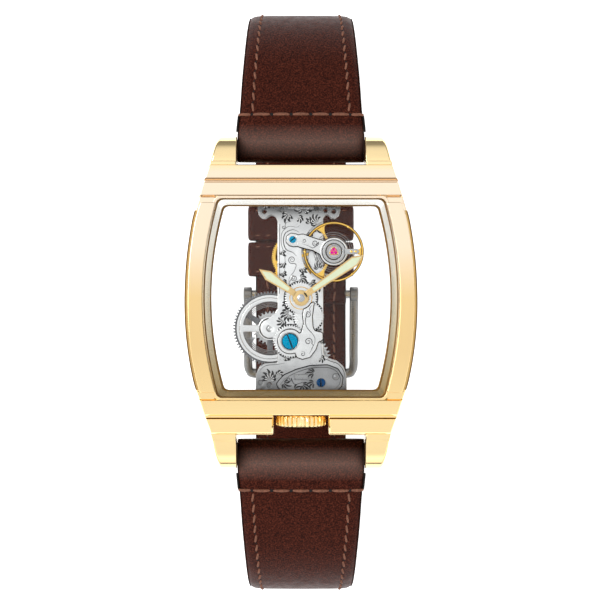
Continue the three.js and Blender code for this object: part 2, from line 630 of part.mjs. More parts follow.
function centreWheel() {
  const rim = teeth(HANDS, 64, 3.15, meshed(phaseThirdPinion, 8, bearing(THIRD, HANDS), 64));
  const wheelDisc = wheel(HANDS, rim, 2.5, 2.65, 0, windows(HANDS, 0.9, 2.7, 4, 0.45, 0, 2));
  const pinion = prism(teeth(HANDS, 14, CENTRE_PINION.r, phaseCentre), 1.95, 2.5);
  return join(wheelDisc, pinion, arbor(HANDS, [[0.5, 0.82, 3.4, 8], [0.38, 0.1, 5.8, 8]]));
}

function cannonPinion() {
  const leaves = prism(teeth(HANDS, 12, 0.781, phaseCannon), 3.55, 3.9,
    [circle(HANDS, 0.39, 8)]);
  const pipe = prism(circle(HANDS, 0.56, 12), 3.85, 5.45, [circle(HANDS, 0.39, 8)]);
  return join(leaves, pipe);
}

function handOutline(length, angle, width) {
  const shape = [[0.75, -0.42], [1.9, -0.42], [length - 1.7, -width / 2], [length, 0],
    [length - 1.7, width / 2], [1.9, 0.42], [0.75, 0.42]];
  const turn = (90 - angle) * DEG;
  const [c, s] = [Math.cos(turn), Math.sin(turn)];
  return shape.map(([x, y]) => [HANDS[0] + x * c - y * s, HANDS[1] + x * s + y * c]);
}

function hand(length, angle, width, hub, bore, low, high) {
  const blade = prism(handOutline(length, angle, width), low, high);
  return cut(join(blade, disc(HANDS, hub, low, high, 18)), disc(HANDS, bore, low - 1, high + 1, 12));
}

function handCap() {
  return join(
    prism(circle(HANDS, 0.6, 12), 5.71, 5.85),
    disc(HANDS, 0.47, 5.8, 5.95, 12),
  ).subtract(disc(HANDS, 0.39, 5.6, 5.81, 8));
}

function minuteWheel() {
  const rim = teeth(MINUTE, 36, 2.344, phaseMinuteWheel);
  const body = wheel(MINUTE, rim, 3.6, 3.85, 0, windows(MINUTE, 0.85, 1.8, 3, 0.4, 20, 3));
  const pinion = prism(teeth(MINUTE, 10, 0.625, phaseMinutePinion), 3.8, 4.25);
  return join(body, pinion, arbor(MINUTE, [[0.28, 2.85, 3.7, 8]]));
}

function hourWheel() {
  const rim = teeth(HANDS, 40, 2.5, phaseHour);
  const body = wheel(HANDS, rim, 3.95, 4.15, 0.58);
  const pipe = prism(circle(HANDS, 0.82, 12), 4.1, 4.99, [circle(HANDS, 0.58, 12)]);
  return join(body, pipe);
}

function settingWheel() {
  return wheel(SETTING, teeth(SETTING, 39, 2.539, phaseSetting), 3.6, 3.85, 0.93);
}

function thirdWheel() {
  const rim = teeth(THIRD, 60, 2.872, phaseThirdWheel);
  const body = wheel(THIRD, rim, 1.6, 1.72, 0, windows(THIRD, 0.7, 2.4, 3, 0.4, 45, 3));
  const pinion = prism(teeth(THIRD, 8, 0.394, phaseThirdPinion), 2.35, 2.75);
  return join(body, pinion, arbor(THIRD, [[0.25, 1.55, 3.3, 8]]));
}

function fourthWheel() {
  const rim = teeth(FOURTH, 70, 3.8, phaseFourthWheel);
  const body = wheel(FOURTH, rim, 0.86, 1.02, 0, windows(FOURTH, 0.8, 3.2, 4, 0.45, 15, 3));
  const phase = meshed(phaseThirdWheel, 60, bearing(THIRD, FOURTH), 8);
  const pinion = prism(teeth(FOURTH, 8, 0.383, phase), 1.5, 1.78);
  return join(body, pinion, arbor(FOURTH, [[0.2, 0.83, 2.9, 8], [0.1, 0.1, 3.0, 8]]));
}

function escapeWheel() {
  const rim = [];
  for (let i = 0; i < 15; i += 1) {
    const at = 24 * i + 6;
    rim.push(...arc(ESCAPE, 1.95, at - 13, at - 1, 1));
    rim.push(...arc(ESCAPE, 2.44, at + 2.5, at + 2.5, 0));
    rim.push(...arc(ESCAPE, 2.5, at + 6.5, at + 6.5, 0));
  }
  const body = wheel(ESCAPE, rim, 1.3, 1.42, 0, windows(ESCAPE, 0.6, 1.6, 4, 0.35, 0, 2));
  const phase = meshed(phaseFourthWheel, 70, bearing(FOURTH, ESCAPE), 7);
  const pinion = prism(teeth(ESCAPE, 7, 0.38, phase), 0.84, 1.1);
  return join(body, pinion, arbor(ESCAPE, [[0.18, 0.83, 1.76, 8], [0.1, 0.1, 2.3, 8]]));
}

function palletFork() {
  const toBalance = bearing(PALLET, BALANCE);
  const toEscape = bearing(PALLET, ESCAPE);
  const place = (turn, shape) => shape.map(([x, y]) => {
    const [c, s] = [Math.cos(turn * DEG), Math.sin(turn * DEG)];
    return [PALLET[0] + x * c - y * s, PALLET[1] + x * s + y * c];
  });
  const lever = prism(place(toBalance, [[0, -0.22], [1.7, -0.12], [2.0, -0.36], [2.42, -0.36],
    [2.42, -0.13], [2.15, -0.13], [2.15, 0.13], [2.42, 0.13], [2.42, 0.36], [2.0, 0.36],
    [1.7, 0.12], [0, 0.22]]), 1.3, 1.42);
  const arms = prism(place(toEscape, [[-0.25, 0], [0.1, -1.3], [0.3, -1.42], [0.62, -1.35],
    [0.5, -1.1], [0.35, 0], [0.5, 1.1], [0.62, 1.35], [0.3, 1.42], [0.1, 1.3]]), 1.3, 1.42);
  return join(lever, arms, arbor(PALLET, [[0.22, 1.15, 1.76, 8], [0.1, 1.7, 2.2, 8]]));
}

function balanceWheel() {
  const rim = prism(circle(BALANCE, 4.77, 36), 2.75, 3.2, [circle(BALANCE, 4.38, 36)]);
  const arms = [0, 118, 241.5].map((turn) => {
    const shape = [[0.3, -0.42], [2.4, -0.2], [3.6, -0.22], [4.5, -0.75], [4.5, 0.75],
      [3.6, 0.22], [2.4, 0.2], [0.3, 0.42]];
    const [c, s] = [Math.cos(turn * DEG), Math.sin(turn * DEG)];
    return prism(shape.map(([x, y]) =>
      [BALANCE[0] + x * c - y * s, BALANCE[1] + x * s + y * c]), 2.85, 3.1);
  });
  const roller = disc(BALANCE, 0.75, 1.55, 1.7, 12);
  const toPallet = bearing(BALANCE, PALLET) * DEG;
  const pin = [BALANCE[0] + 0.62 * Math.cos(toPallet), BALANCE[1] + 0.62 * Math.sin(toPallet)];
  return join(rim, ...arms, disc(BALANCE, 0.7, 2.8, 3.15, 12), roller, disc(pin, 0.09, 1.3, 1.6, 6),
    arbor(BALANCE, [[0.2, 0.83, 3.6, 8], [0.1, 0.1, 4.3, 8]]));
}

function hairspring() {
  const coil = spiral(BALANCE, 0.62, 2.98, 5, 0.06, 3.36, 3.52, 12, 0);
  const collet = prism(circle(BALANCE, 0.64, 14), 3.34, 3.54, [circle(BALANCE, 0.24, 8)]);
  return join(coil, collet, prism([[8.1, 7.99], [8.41, 7.99], [8.41, 8.05], [8.1, 8.05]],
    3.36, 3.52));
}

function crownWheel() {
  return wheel(CROWN_WHEEL, teeth(CROWN_WHEEL, 46, 4.618, meshed(bearing(BARREL, CROWN_WHEEL), 26,
    bearing(BARREL, CROWN_WHEEL), 46)), -0.55, -0.15, 0.63, windows(CROWN_WHEEL, 1.6, 3.7, 3, 0.9));
}

function ratchetWheel() {
  return wheel(BARREL, teeth(BARREL, 26, 2.611, bearing(BARREL, CROWN_WHEEL)), -0.55, -0.15, 0.5);
}

function clickPiece() {
  const spot = [-8.6, -6.3];
  const toRatchet = bearing(spot, BARREL);
  const shape = [[-0.6, -0.45], [0.6, -0.5], [1.35, -0.16], [1.42, 0], [0.6, 0.5], [-0.6, 0.45]];
  const [c, s] = [Math.cos(toRatchet * DEG), Math.sin(toRatchet * DEG)];
  return { spot, solid: prism(shape.map(([x, y]) =>
    [spot[0] + x * c - y * s, spot[1] + x * s + y * c]), -0.5, -0.2, [circle(spot, 0.3, 8)]) };
}

function fluted(radius, depth, count) {
  const points = [];
  for (let i = 0; i < count; i += 1) {
    const step = 360 / count;
    points.push(...arc([0, 0], radius, i * step, 0, 0));
    points.push(...arc([0, 0], radius - depth, (i + 0.5) * step, 0, 0));
  }
  return points;
}

// Turns a solid built along +Z so that it lies along the stem, +Z going outwards.
function onStem(solid) {
  return solid.rotate([90, 0, 0]).translate([0, 0, BASE + STEM_Z]);
}

function crownBody() {
  const { r, inner, outer, flutes } = CROWN;
  const grip = prism(fluted(r, 0.28, flutes), -inner + 0.35, -outer - 0.45);
  const face = stack([
    { points: circle([0, 0], r - 0.35, 20), z: -inner },
    { points: circle([0, 0], r - 0.35, 20), z: -outer - 0.44 },
    { points: circle([0, 0], r - 1.0, 20), z: -outer },
  ]);
  return onStem(cut(join(grip, face), disc([0, 0], 0.45, -inner - 1, -inner + 1.2, 8)));
}

const stem = () => onStem(join(disc([0, 0], 0.5, 10.3, -CROWN.inner - 0.01, 10),
  disc([0, 0], 0.43, 15, -CROWN.inner + 1.1, 8)));

const windingPinion = () => onStem(prism(teeth([0, 0], 18, 1.4, 90, 0, 0.9, 1.2), 13.7, 15.2,
  [circle([0, 0], 0.55, 8)]));

const clutch = () => onStem(join(
  prism(circle([0, 0], 0.9, 12), 11.6, 13.55, [circle([0, 0], 0.55, 8)]),
  prism(fluted(1.25, 0.2, 12), 11.0, 11.62, [circle([0, 0], 0.55, 8)]),
));

// ---- assembly ----

const group = new THREE.Group();
group.name = 'skeleton_wristwatch';

function add(name, solid, finish, lift = 0) {
  const { color, roughness, metalness } = FINISH[finish];
  const material = new THREE.MeshStandardMaterial({ color, roughness, metalness });
  const mesh = new THREE.Mesh(toGeometry(solid.translate([0, 0, lift])), material);
  mesh.name = name;
  group.add(mesh);
}

add('case_middle', caseMiddle(), 'gold');
add('bezel', bezel(), 'gold');
add('front_crystal', prism(opening(15.6, 15.4, 13.1), 37.2, 38.65), 'crystal');
add('front_gasket', bowedRing([15.8, 15.6, 13.3], [15.63, 15.43, 13.13], 37.25, 38.6), 'rubber');
add('inner_flange', innerFlange(), 'gold');
add('case_back', caseBack(), 'gold');
add('back_crystal', prism(opening(15.6, 15.4, 13.1), 28.2, 29.1), 'crystal');
add('back_gasket', bowedRing([15.8, 15.6, 13.3], [15.63, 15.43, 13.13], 28.2, 29.1), 'rubber');
screwSpots.forEach((spot, i) => {
  add(`case_back_screw_${i + 1}`, caseBackScrew(spot, 35 + 50 * i), 'gold');
});
add('crown_tube', cut(shaft('y', 0, BASE + STEM_Z, 0.98, -17.5, -15.35, 16),
  shaft('y', 0, BASE + STEM_Z, 0.53, -19, -14, 12)), 'steel');
add('spring_bar_12', springBar(1), 'steel');
add('spring_bar_6', springBar(-1), 'steel');
add('movement_clamp_12', box([-2, 14.8, BASE + 3.52], [2, 17.7, BASE + 3.95]), 'steel');
add('movement_clamp_6', box([-2, -16.6, BASE + 3.97], [2, -14.0, BASE + 4.35]), 'steel');
add('strap_12', strap12(), 'leather');
add('strap_6', strap6(), 'leather');
add('fixed_keeper', keeper(KEEPERS.fixed), 'leather');
add('free_keeper', keeper(KEEPERS.free), 'leather');
add('buckle_bar', shaft('x', BUCKLE_BAR.y, BUCKLE_BAR.z, BUCKLE_BAR.r, -10.1, 10.1, 12), 'steel');
add('buckle_frame', buckleFrame(), 'steel');
add('buckle_tongue', buckleTongue(), 'steel');

add('main_plate', mainPlate(), 'rhodium', BASE);
add('train_bridge', trainBridge(), 'rhodium', BASE);
add('balance_cock', balanceCock(), 'rhodium', BASE);
add('motion_cover', motionCover(), 'rhodium', BASE);
add('setting_cover', settingCover(), 'rhodium', BASE);
add('balance_jewel', balanceJewel(), 'ruby', BASE);
add('stud_carrier', studCarrier(), 'steel', BASE);
add('hairspring', hairspring(), 'steel', BASE);
add('cock_screw', slottedScrew(COCK_SCREW, 0.55, 4.31, 4.6, 0.28, 2.7, 40), 'blued', BASE);
add('setting_wheel_screw', slottedScrew(SETTING, 1.19, 4.46, 4.85, 0.38, 2.9, 110, 0.2), 'blued',
  BASE);
add('setting_cover_screw', slottedScrew(COVER_SCREW, 0.7, 3.96, 4.25, 0.3, 2.82, 90), 'blued', BASE);

const click = clickPiece();
add('click', click.solid, 'steel', BASE);
add('click_spring', prism([[-6.6, -9.4], [-6.2, -9.6], [-8.9, -7.0], [-9.15, -7.1]].reverse(),
  -0.5, -0.25), 'steel', BASE);
add('winding_pinion', windingPinion(), 'steel');
add('clutch', clutch(), 'steel');
add('crown', crownBody(), 'gold');
add('stem', stem(), 'steel');
add('crown_wheel', crownWheel(), 'steel', BASE);
add('ratchet_wheel', ratchetWheel(), 'steel', BASE);
add('barrel_arbor', barrelArbor(), 'steel', BASE);
add('barrel_drum', barrelDrum(), 'rhodium', BASE);
add('barrel_cover', barrelCover(), 'rhodium', BASE);
add('mainspring', spiral(BARREL, 3.4, 4.8, 4, 0.14, 1.2, 2.1, 16, 0), 'steel', BASE);
add('centre_wheel', centreWheel(), 'gilt', BASE);
add('cannon_pinion', cannonPinion(), 'steel', BASE);
add('minute_hand', hand(12.0, 55.5, 1.4, 1.1, 0.58, 5.5, 5.7), 'gilt', BASE);
add('hand_cap', handCap(), 'steel', BASE);
add('minute_wheel', minuteWheel(), 'steel', BASE);
add('hour_wheel', hourWheel(), 'steel', BASE);
add('hour_hand', hand(8.0, 304.6, 1.4, 1.25, 0.84, 5.0, 5.2), 'gilt', BASE);
add('setting_wheel', settingWheel(), 'steel', BASE);
add('third_wheel', thirdWheel(), 'gilt', BASE);
add('fourth_wheel', fourthWheel(), 'gilt', BASE);
add('escape_wheel', escapeWheel(), 'steel', BASE);
add('pallet_fork', palletFork(), 'steel', BASE);
add('balance_wheel', balanceWheel(), 'gilt', BASE);

export default group;
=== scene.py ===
"""Skeleton wristwatch in gold on a brown leather strap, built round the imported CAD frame.

Shapes are written in millimetres and turned into metres when a piece is made.
"""

import math

import bmesh
import bpy
from mathutils import Matrix, Vector


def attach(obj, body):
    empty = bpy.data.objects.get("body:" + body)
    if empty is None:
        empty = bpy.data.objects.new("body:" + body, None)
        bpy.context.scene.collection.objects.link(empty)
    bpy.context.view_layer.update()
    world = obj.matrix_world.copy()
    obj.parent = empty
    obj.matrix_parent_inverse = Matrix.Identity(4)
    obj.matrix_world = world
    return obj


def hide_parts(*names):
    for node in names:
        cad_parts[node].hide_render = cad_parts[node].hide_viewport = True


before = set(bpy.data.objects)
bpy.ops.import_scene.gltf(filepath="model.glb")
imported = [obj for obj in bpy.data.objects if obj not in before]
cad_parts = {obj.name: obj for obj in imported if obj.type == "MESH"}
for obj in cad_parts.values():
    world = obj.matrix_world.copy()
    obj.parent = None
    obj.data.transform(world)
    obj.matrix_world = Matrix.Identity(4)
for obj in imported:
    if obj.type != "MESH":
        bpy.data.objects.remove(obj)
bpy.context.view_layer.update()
MM = 0.001
BASE = 30.6

# Centres in the movement, as in the CAD.
HANDS = (0, 0.7)
BARREL = (-4.93, -4.11)
THIRD = (-1.303, 3.999)
FOURTH = (-0.76, 7.21)
ESCAPE = (1.947, 4.027)
PALLET = (2.46, 6.93)
BALANCE = (5.18, 8.02)
MINUTE = (1.18, -2.19)
SETTING = (-1.713, -6.124)
CROWN_WHEEL = (0, -9.4)
COCK_SCREW = (-1.3, 9.91)
COVER_SCREW = (3.16, -12.64)
STEM_Z = BASE + 1.5

# Half the outer width of the case and of the bezel at each height y.
CASE_SIDE = [
    (26.25, 12.55), (24.9, 13.4), (22.1, 14.15), (19.9, 14.9), (17.4, 15.7), (15.0, 16.4),
    (12.5, 17.05), (7.5, 17.8), (2.6, 18.14), (-2.4, 18.14), (-7.4, 17.7), (-12.3, 16.8),
    (-15.7, 15.7), (-18.2, 14.9), (-20.8, 14.0), (-23.7, 13.45), (-26.25, 12.65),
]
RAIL_SIDE = [
    (16.4, 15.35), (12.5, 16.45), (7.5, 17.2), (2.6, 17.52), (-2.4, 17.52), (-7.4, 17.1),
    (-12.3, 16.15), (-14.9, 15.35),
]

# Centre line of each strap half: y, z, half width, half thickness.
STRAP_12 = [
    (22.35, 31.6, 10.0, 0.3), (22.5, 31.6, 10.06, 0.75), (22.9, 31.66, 10.1, 1.2),
    (23.5, 31.8, 10.1, 1.55), (24.8, 32.1, 10.1, 1.66), (27.0, 32.3, 10.08, 1.58),
    (30.6, 31.5, 9.75, 1.45), (35.2, 29.8, 9.5, 1.35), (39.8, 27.2, 9.2, 1.25),
    (43.7, 23.6, 8.95, 1.2), (46.4, 19.4, 8.75, 1.15), (47.6, 14.8, 8.55, 1.15),
    (46.8, 10.6, 8.4, 1.12), (44.0, 7.3, 8.3, 1.12), (39.2, 5.2, 8.2, 1.1),
    (33.0, 4.1, 8.1, 1.1), (23.5, 3.62, 8, 1.1), (12.0, 3.6, 8, 1.1), (4.6, 3.62, 8, 1.12),
    (2.4, 3.95, 8, 1.3), (1.2, 4.15, 8, 1.55), (0.3, 4.2, 8, 1.4), (-0.2, 4.2, 7.95, 0.8),
    (-0.34, 4.2, 7.9, 0.3),
]
STRAP_6 = [
    (-21.75, 31.6, 10.0, 0.3), (-21.9, 31.6, 10.06, 0.75), (-22.35, 31.66, 10.1, 1.2),
    (-23.15, 31.8, 10.1, 1.55), (-24.8, 32.1, 10.1, 1.66), (-27.0, 32.3, 10.08, 1.58),
    (-30.6, 31.5, 9.75, 1.45), (-35.2, 29.8, 9.5, 1.35), (-39.8, 27.2, 9.2, 1.25),
    (-43.7, 23.6, 8.95, 1.2), (-46.4, 19.4, 8.75, 1.15), (-47.6, 14.8, 8.55, 1.15),
    (-46.8, 10.6, 8.4, 1.12), (-44.0, 7.3, 8.3, 1.0), (-39.2, 5.2, 8.2, 0.95),
    (-33.0, 4.1, 8.1, 0.9), (-27.0, 3.55, 8, 0.85), (-18.0, 3.14, 8, 0.78),
    (-12.6, 2.92, 8, 0.74), (-8.6, 2.34, 8, 0.72), (-5.4, 1.72, 8, 0.71),
    (-2.5, 1.56, 8, 0.7), (8.0, 1.55, 8, 0.7), (16.0, 1.55, 8, 0.7), (19.4, 1.55, 7.2, 0.7),
    (21.4, 1.55, 5.2, 0.68), (22.2, 1.55, 2.6, 0.6),
]
BUCKLE_BAR = (1.4, 4.2)
KEEPERS = {"fixed_keeper": (4.6, 10.6), "free_keeper": (11.0, 17.0)}
KEEPER_HALF, KEEPER_TOP, KEEPER_WALL = 9.4, 5.6, 0.76


# ---- outlines ----

def squared(value, power):
    """A sine or cosine bent so that the round section it draws grows squarer."""
    return math.copysign(abs(value) ** power, value)


def polar(centre, radius, angle):
    a = math.radians(angle)
    return (centre[0] + radius * math.cos(a), centre[1] + radius * math.sin(a))


def arc(centre, radius, start, end, steps):
    return [polar(centre, radius, start + (end - start) * i / steps) for i in range(steps + 1)]


def circle(centre, radius, steps=48):
    return arc(centre, radius, 0, 360 - 360 / steps, steps - 1)


def smooth(points, per=6):
    """Points on a smooth line through the given ones."""
    out = []
    for i in range(len(points) - 1):
        four = [points[max(i - 1, 0)], points[i], points[i + 1], points[min(i + 2, len(points) - 1)]]
        for k in range(per):
            t = k / per
            out.append(tuple(
                0.5 * (2 * b + (c - a) * t + (2 * a - 5 * b + 4 * c - d) * t * t
                       + (3 * b - a - 3 * c + d) * t ** 3)
                for a, b, c, d in zip(*four)))
    return out + [tuple(points[-1])]


def at_height(table, y):
    """The half width that a table of (y, half width) has at y."""
    rows = smooth(table, 8)
    for (y1, x1), (y2, x2) in zip(rows, rows[1:]):
        if y2 <= y <= y1:
            return x1 + (x2 - x1) * (y1 - y) / max(y1 - y2, 1e-9)
    return rows[0][1] if y > rows[0][0] else rows[-1][1]


def spaced(start, end, count):
    return [start + (end - start) * i / (count - 1) for i in range(count)]


def mirror_x(outline):
    return [(-x, y) for x, y in reversed(outline)]


def placed(shape, centre, turn):
    """The shape turned by an angle and moved to centre."""
    c, s = math.cos(math.radians(turn)), math.sin(math.radians(turn))
    return [(centre[0] + x * c - y * s, centre[1] + x * s + y * c) for x, y in shape]


def rounded(outline, radius, steps=3, least=25):
    """The outline with each corner that turns more than `least` degrees rounded."""
    out = []
    for i, point in enumerate(outline):
        b = Vector(point)
        u = Vector(outline[i - 1]) - b
        v = Vector(outline[(i + 1) % len(outline)]) - b
        if u.length < 1e-6 or v.length < 1e-6:
            continue
        turn = math.pi - u.angle(v)
        if math.degrees(turn) < least:
            out.append(tuple(b))
            continue
        d = min(radius * math.tan(turn / 2), 0.45 * u.length, 0.45 * v.length)
        p, q = b + u.normalized() * d, b + v.normalized() * d
        for k in range(steps + 1):
            t = k / steps
            out.append(tuple(p * (1 - t) ** 2 + b * 2 * t * (1 - t) + q * t * t))
    return out


def swollen(outline, amount):
    """The outline pushed outwards by amount."""
    turned = sum(a[0] * b[1] - b[0] * a[1] for a, b in zip(outline, outline[1:] + outline[:1]))
    out = []
    for i, point in enumerate(outline):
        b = Vector(point)
        u = (b - Vector(outline[i - 1])).normalized()
        v = (Vector(outline[(i + 1) % len(outline)]) - b).normalized()
        across = Vector((u.y + v.y, -u.x - v.x)) * math.copysign(1, turned)
        if across.length > 1e-6:
            across.normalize()
        out.append(tuple(b + across * amount))
    return out


def kept_between(outline, left, right):
    """The outline with its x held between two limits."""
    return [(min(max(x, left), right), y) for x, y in outline]


def opening(half_height, middle, corner, curve=0.9, steps=28):
    """The dial opening: straight top and bottom, bowed sides, round corners."""
    sides = []
    for y in spaced(curve - half_height, half_height - curve, steps):
        sides.append((middle - (middle - corner) * (y / half_height) ** 2, y))
    x, y = sides[-1]
    turn = []
    for k in range(1, 7):
        t = k / 6
        turn.append((x * (1 - t) ** 2 + 2 * t * (1 - t) * (corner + 0.05) + (corner - curve) * t * t,
                     y * (1 - t) ** 2 + (1 - (1 - t) ** 2) * half_height))
    right = [(px, -py) for px, py in reversed(turn)] + sides + turn
    return [(px, py + HANDS[1]) for px, py in right + [(-px, py) for px, py in reversed(right)]]


def band(start, end, table, inset=0.0, count=8):
    """A strip across the case between two heights."""
    right = [(at_height(table, y) - inset, y) for y in spaced(start, end, count)]
    return right + mirror_x(right)


def gear_outline(centre, count, pitch, phase, tip=0.9, root=1.15, flat=0.11):
    module, step, points = 2 * pitch / count, 360 / count, []
    for i in range(count):
        at = phase + i * step
        low, high = pitch - root * module, pitch + tip * module
        points += [polar(centre, low, at - 0.33 * step), polar(centre, high, at - flat * step),
                   polar(centre, high, at + flat * step), polar(centre, low, at + 0.33 * step)]
    return points


def bearing(start, end):
    return math.degrees(math.atan2(end[1] - start[1], end[0] - start[0]))


def meshed(phase_a, count_a, angle, count_b):
    """The phase that puts a gap of wheel b where wheel a has a tooth."""
    return angle + 180 - (phase_a - angle) * count_a / count_b + 180 / count_b


def windows(centre, inner, outer, arms, arm_width, turn=0.0, steps=12, curve=0.25):
    """The openings between a wheel's arms."""
    out = []
    for i in range(arms):
        start, end = turn + 360 / arms * i, turn + 360 / arms * (i + 1)
        near = math.degrees(arm_width / 2 / inner)
        far = math.degrees(arm_width / 2 / outer)
        out.append(rounded(arc(centre, outer, start + far, end - far, steps)
                           + arc(centre, inner, end - near, start + near, steps), curve, 4))
    return out


# ---- solids, each a pair of vertex and face lists ----

def prism(outline, low, high, holes=(), bevel=0.04, steps=2):
    """An outline with holes, raised from low to high, with a rounded bevel on every edge."""
    curve = bpy.data.curves.new("outline", "CURVE")
    curve.dimensions, curve.fill_mode = "2D", "BOTH"
    curve.extrude = (high - low) / 2 - bevel
    curve.bevel_depth, curve.bevel_resolution, curve.offset = bevel, steps, -bevel
    for ring in (outline, *holes):
        spline = curve.splines.new("POLY")
        spline.points.add(len(ring) - 1)
        for point, (x, y) in zip(spline.points, ring):
            point.co = (x, y, 0, 1)
        spline.use_cyclic_u = True
    obj = bpy.data.objects.new("outline", curve)
    mesh = obj.to_mesh()
    middle = (low + high) / 2
    part = ([(v.co.x, v.co.y, v.co.z + middle) for v in mesh.vertices],
            [tuple(p.vertices) for p in mesh.polygons])
    obj.to_mesh_clear()
    bpy.data.objects.remove(obj)
    bpy.data.curves.remove(curve)
    return part


def raised(outline, low, high, holes=(), bevel=0.04, steps=2):
    """A prism of the movement, its heights counted from the underside of the main plate."""
    return prism(outline, BASE + low, BASE + high, holes, bevel, steps)


def loft(rings, closed=False):
    """A skin through rings of equal length; closed joins the last ring to the first."""
    count, faces = len(rings[0]), []
    verts = [p for ring in rings for p in ring]
    spans = len(rings) if closed else len(rings) - 1
    for k in range(spans):
        a, b = k * count, (k + 1) % len(rings) * count
        for i in range(count):
            j = (i + 1) % count
            faces.append((a + i, a + j, b + j, b + i))
    if not closed:
        faces += [tuple(reversed(range(count))),
                  tuple(range((len(rings) - 1) * count, len(rings) * count))]
    return verts, faces


def lathe(profile, centre=(0, 0), steps=48, closed=False):
    """A (radius, z) profile turned about the Z axis through centre."""
    rings = [[(*polar(centre, max(r, 1e-4), 360 * i / steps), z) for i in range(steps)]
             for r, z in profile]
    return loft(rings, closed)


def turned(profile, centre, steps=48, closed=False):
    """A lathed part of the movement, its heights counted from the underside of the main plate."""
    return lathe([(r, BASE + z) for r, z in profile], centre, steps, closed)


def tube(points, radius, sides=8, flat=1.0, up=(0, 0, 1)):
    """A round or flattened tube along points; radius is a number or a function of 0 to 1."""
    points = [Vector(p) for p in points]
    last, rings = len(points) - 1, []
    for i, p in enumerate(points):
        along = (points[min(i + 1, last)] - points[max(i - 1, 0)]).normalized()
        side = along.cross(Vector(up))
        side = side.normalized() if side.length > 1e-6 else Vector((1, 0, 0))
        lift = side.cross(along)
        r = radius(i / last) if callable(radius) else radius
        ring = []
        for k in range(sides):
            a = 2 * math.pi * k / sides
            ring.append(tuple(p + side * (r * math.cos(a)) + lift * (r * flat * math.sin(a))))
        rings.append(ring)
    return loft(rings)


def ribbon(points, thick, low, high):
    """A flat spring on edge along 2D points."""
    rings, last = [], len(points) - 1
    for i, point in enumerate(points):
        along = Vector(points[min(i + 1, last)]) - Vector(points[max(i - 1, 0)])
        side = Vector((-along.y, along.x)).normalized() * thick / 2
        x, y = point
        rings.append([(x - side.x, y - side.y, low), (x + side.x, y + side.y, low),
                      (x + side.x, y + side.y, high), (x - side.x, y - side.y, high)])
    return loft(rings)


def spiral(centre, inner, outer, turns, start=0.0, per_turn=40):
    count = round(turns * per_turn)
    return [polar(centre, inner + (outer - inner) * i / count, start + 360 * turns * i / count)
            for i in range(count + 1)]


def moved(part, matrix):
    return [tuple(matrix @ Vector(v)) for v in part[0]], part[1]


# ---- pieces ----

def object_of(name, parts, look, angle=35):
    verts, faces = [], []
    for part_verts, part_faces in parts:
        start = len(verts)
        verts += [(x * MM, y * MM, z * MM) for x, y, z in part_verts]
        faces += [tuple(i + start for i in face) for face in part_faces]
    mesh = bpy.data.meshes.new(name)
    mesh.from_pydata(verts, [], faces)
    work = bmesh.new()
    work.from_mesh(mesh)
    bmesh.ops.remove_doubles(work, verts=work.verts, dist=1e-7)
    bmesh.ops.recalc_face_normals(work, faces=work.faces)
    work.to_mesh(mesh)
    work.free()
    mesh.polygons.foreach_set("use_smooth", [True] * len(mesh.polygons))
    mesh.set_sharp_from_angle(angle=math.radians(angle))
    mesh.materials.append(look)
    obj = bpy.data.objects.new(name, mesh)
    bpy.context.scene.collection.objects.link(obj)
    return obj


def piece(name, parts, look, body, replaces=(), angle=35, even=True):
    """One visible piece that rides on a body and stands for CAD nodes."""
    obj = object_of(name, parts, look, angle)
    if even:
        normals = obj.modifiers.new("even_normals", "WEIGHTED_NORMAL")
        normals.keep_sharp = True
    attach(obj, body)
    if replaces:
        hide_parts(*replaces)
    return obj


def carved(obj, cutters):
    """Cuts closed parts out of a piece's mesh."""
    tool = object_of("cutter", cutters, obj.data.materials[0])
    cut = obj.modifiers.new("cut", "BOOLEAN")
    cut.operation, cut.solver, cut.object = "DIFFERENCE", "EXACT", tool
    bpy.context.view_layer.update()
    made = bpy.data.meshes.new_from_object(obj.evaluated_get(bpy.context.evaluated_depsgraph_get()))
    obj.modifiers.remove(cut)
    obj.data = made
    bpy.data.objects.remove(tool)
    made.polygons.foreach_set("use_smooth", [True] * len(made.polygons))
    made.set_sharp_from_angle(angle=math.radians(35))


# ---- materials ----

def linear(rgb):
    out = []
    for c in rgb:
        c /= 255
        out.append(c / 12.92 if c <= 0.04045 else ((c + 0.055) / 1.055) ** 2.4)
    return (*out, 1.0)


def set_stops(node, stops):
    """Gives a colour ramp its (place, colour) stops, in rising order."""
    line = node.color_ramp.elements
    line[0].position, line[0].color = stops[0]
    line[-1].position, line[-1].color = stops[-1]
    for place, colour in stops[1:-1]:
        line.new(place).color = colour


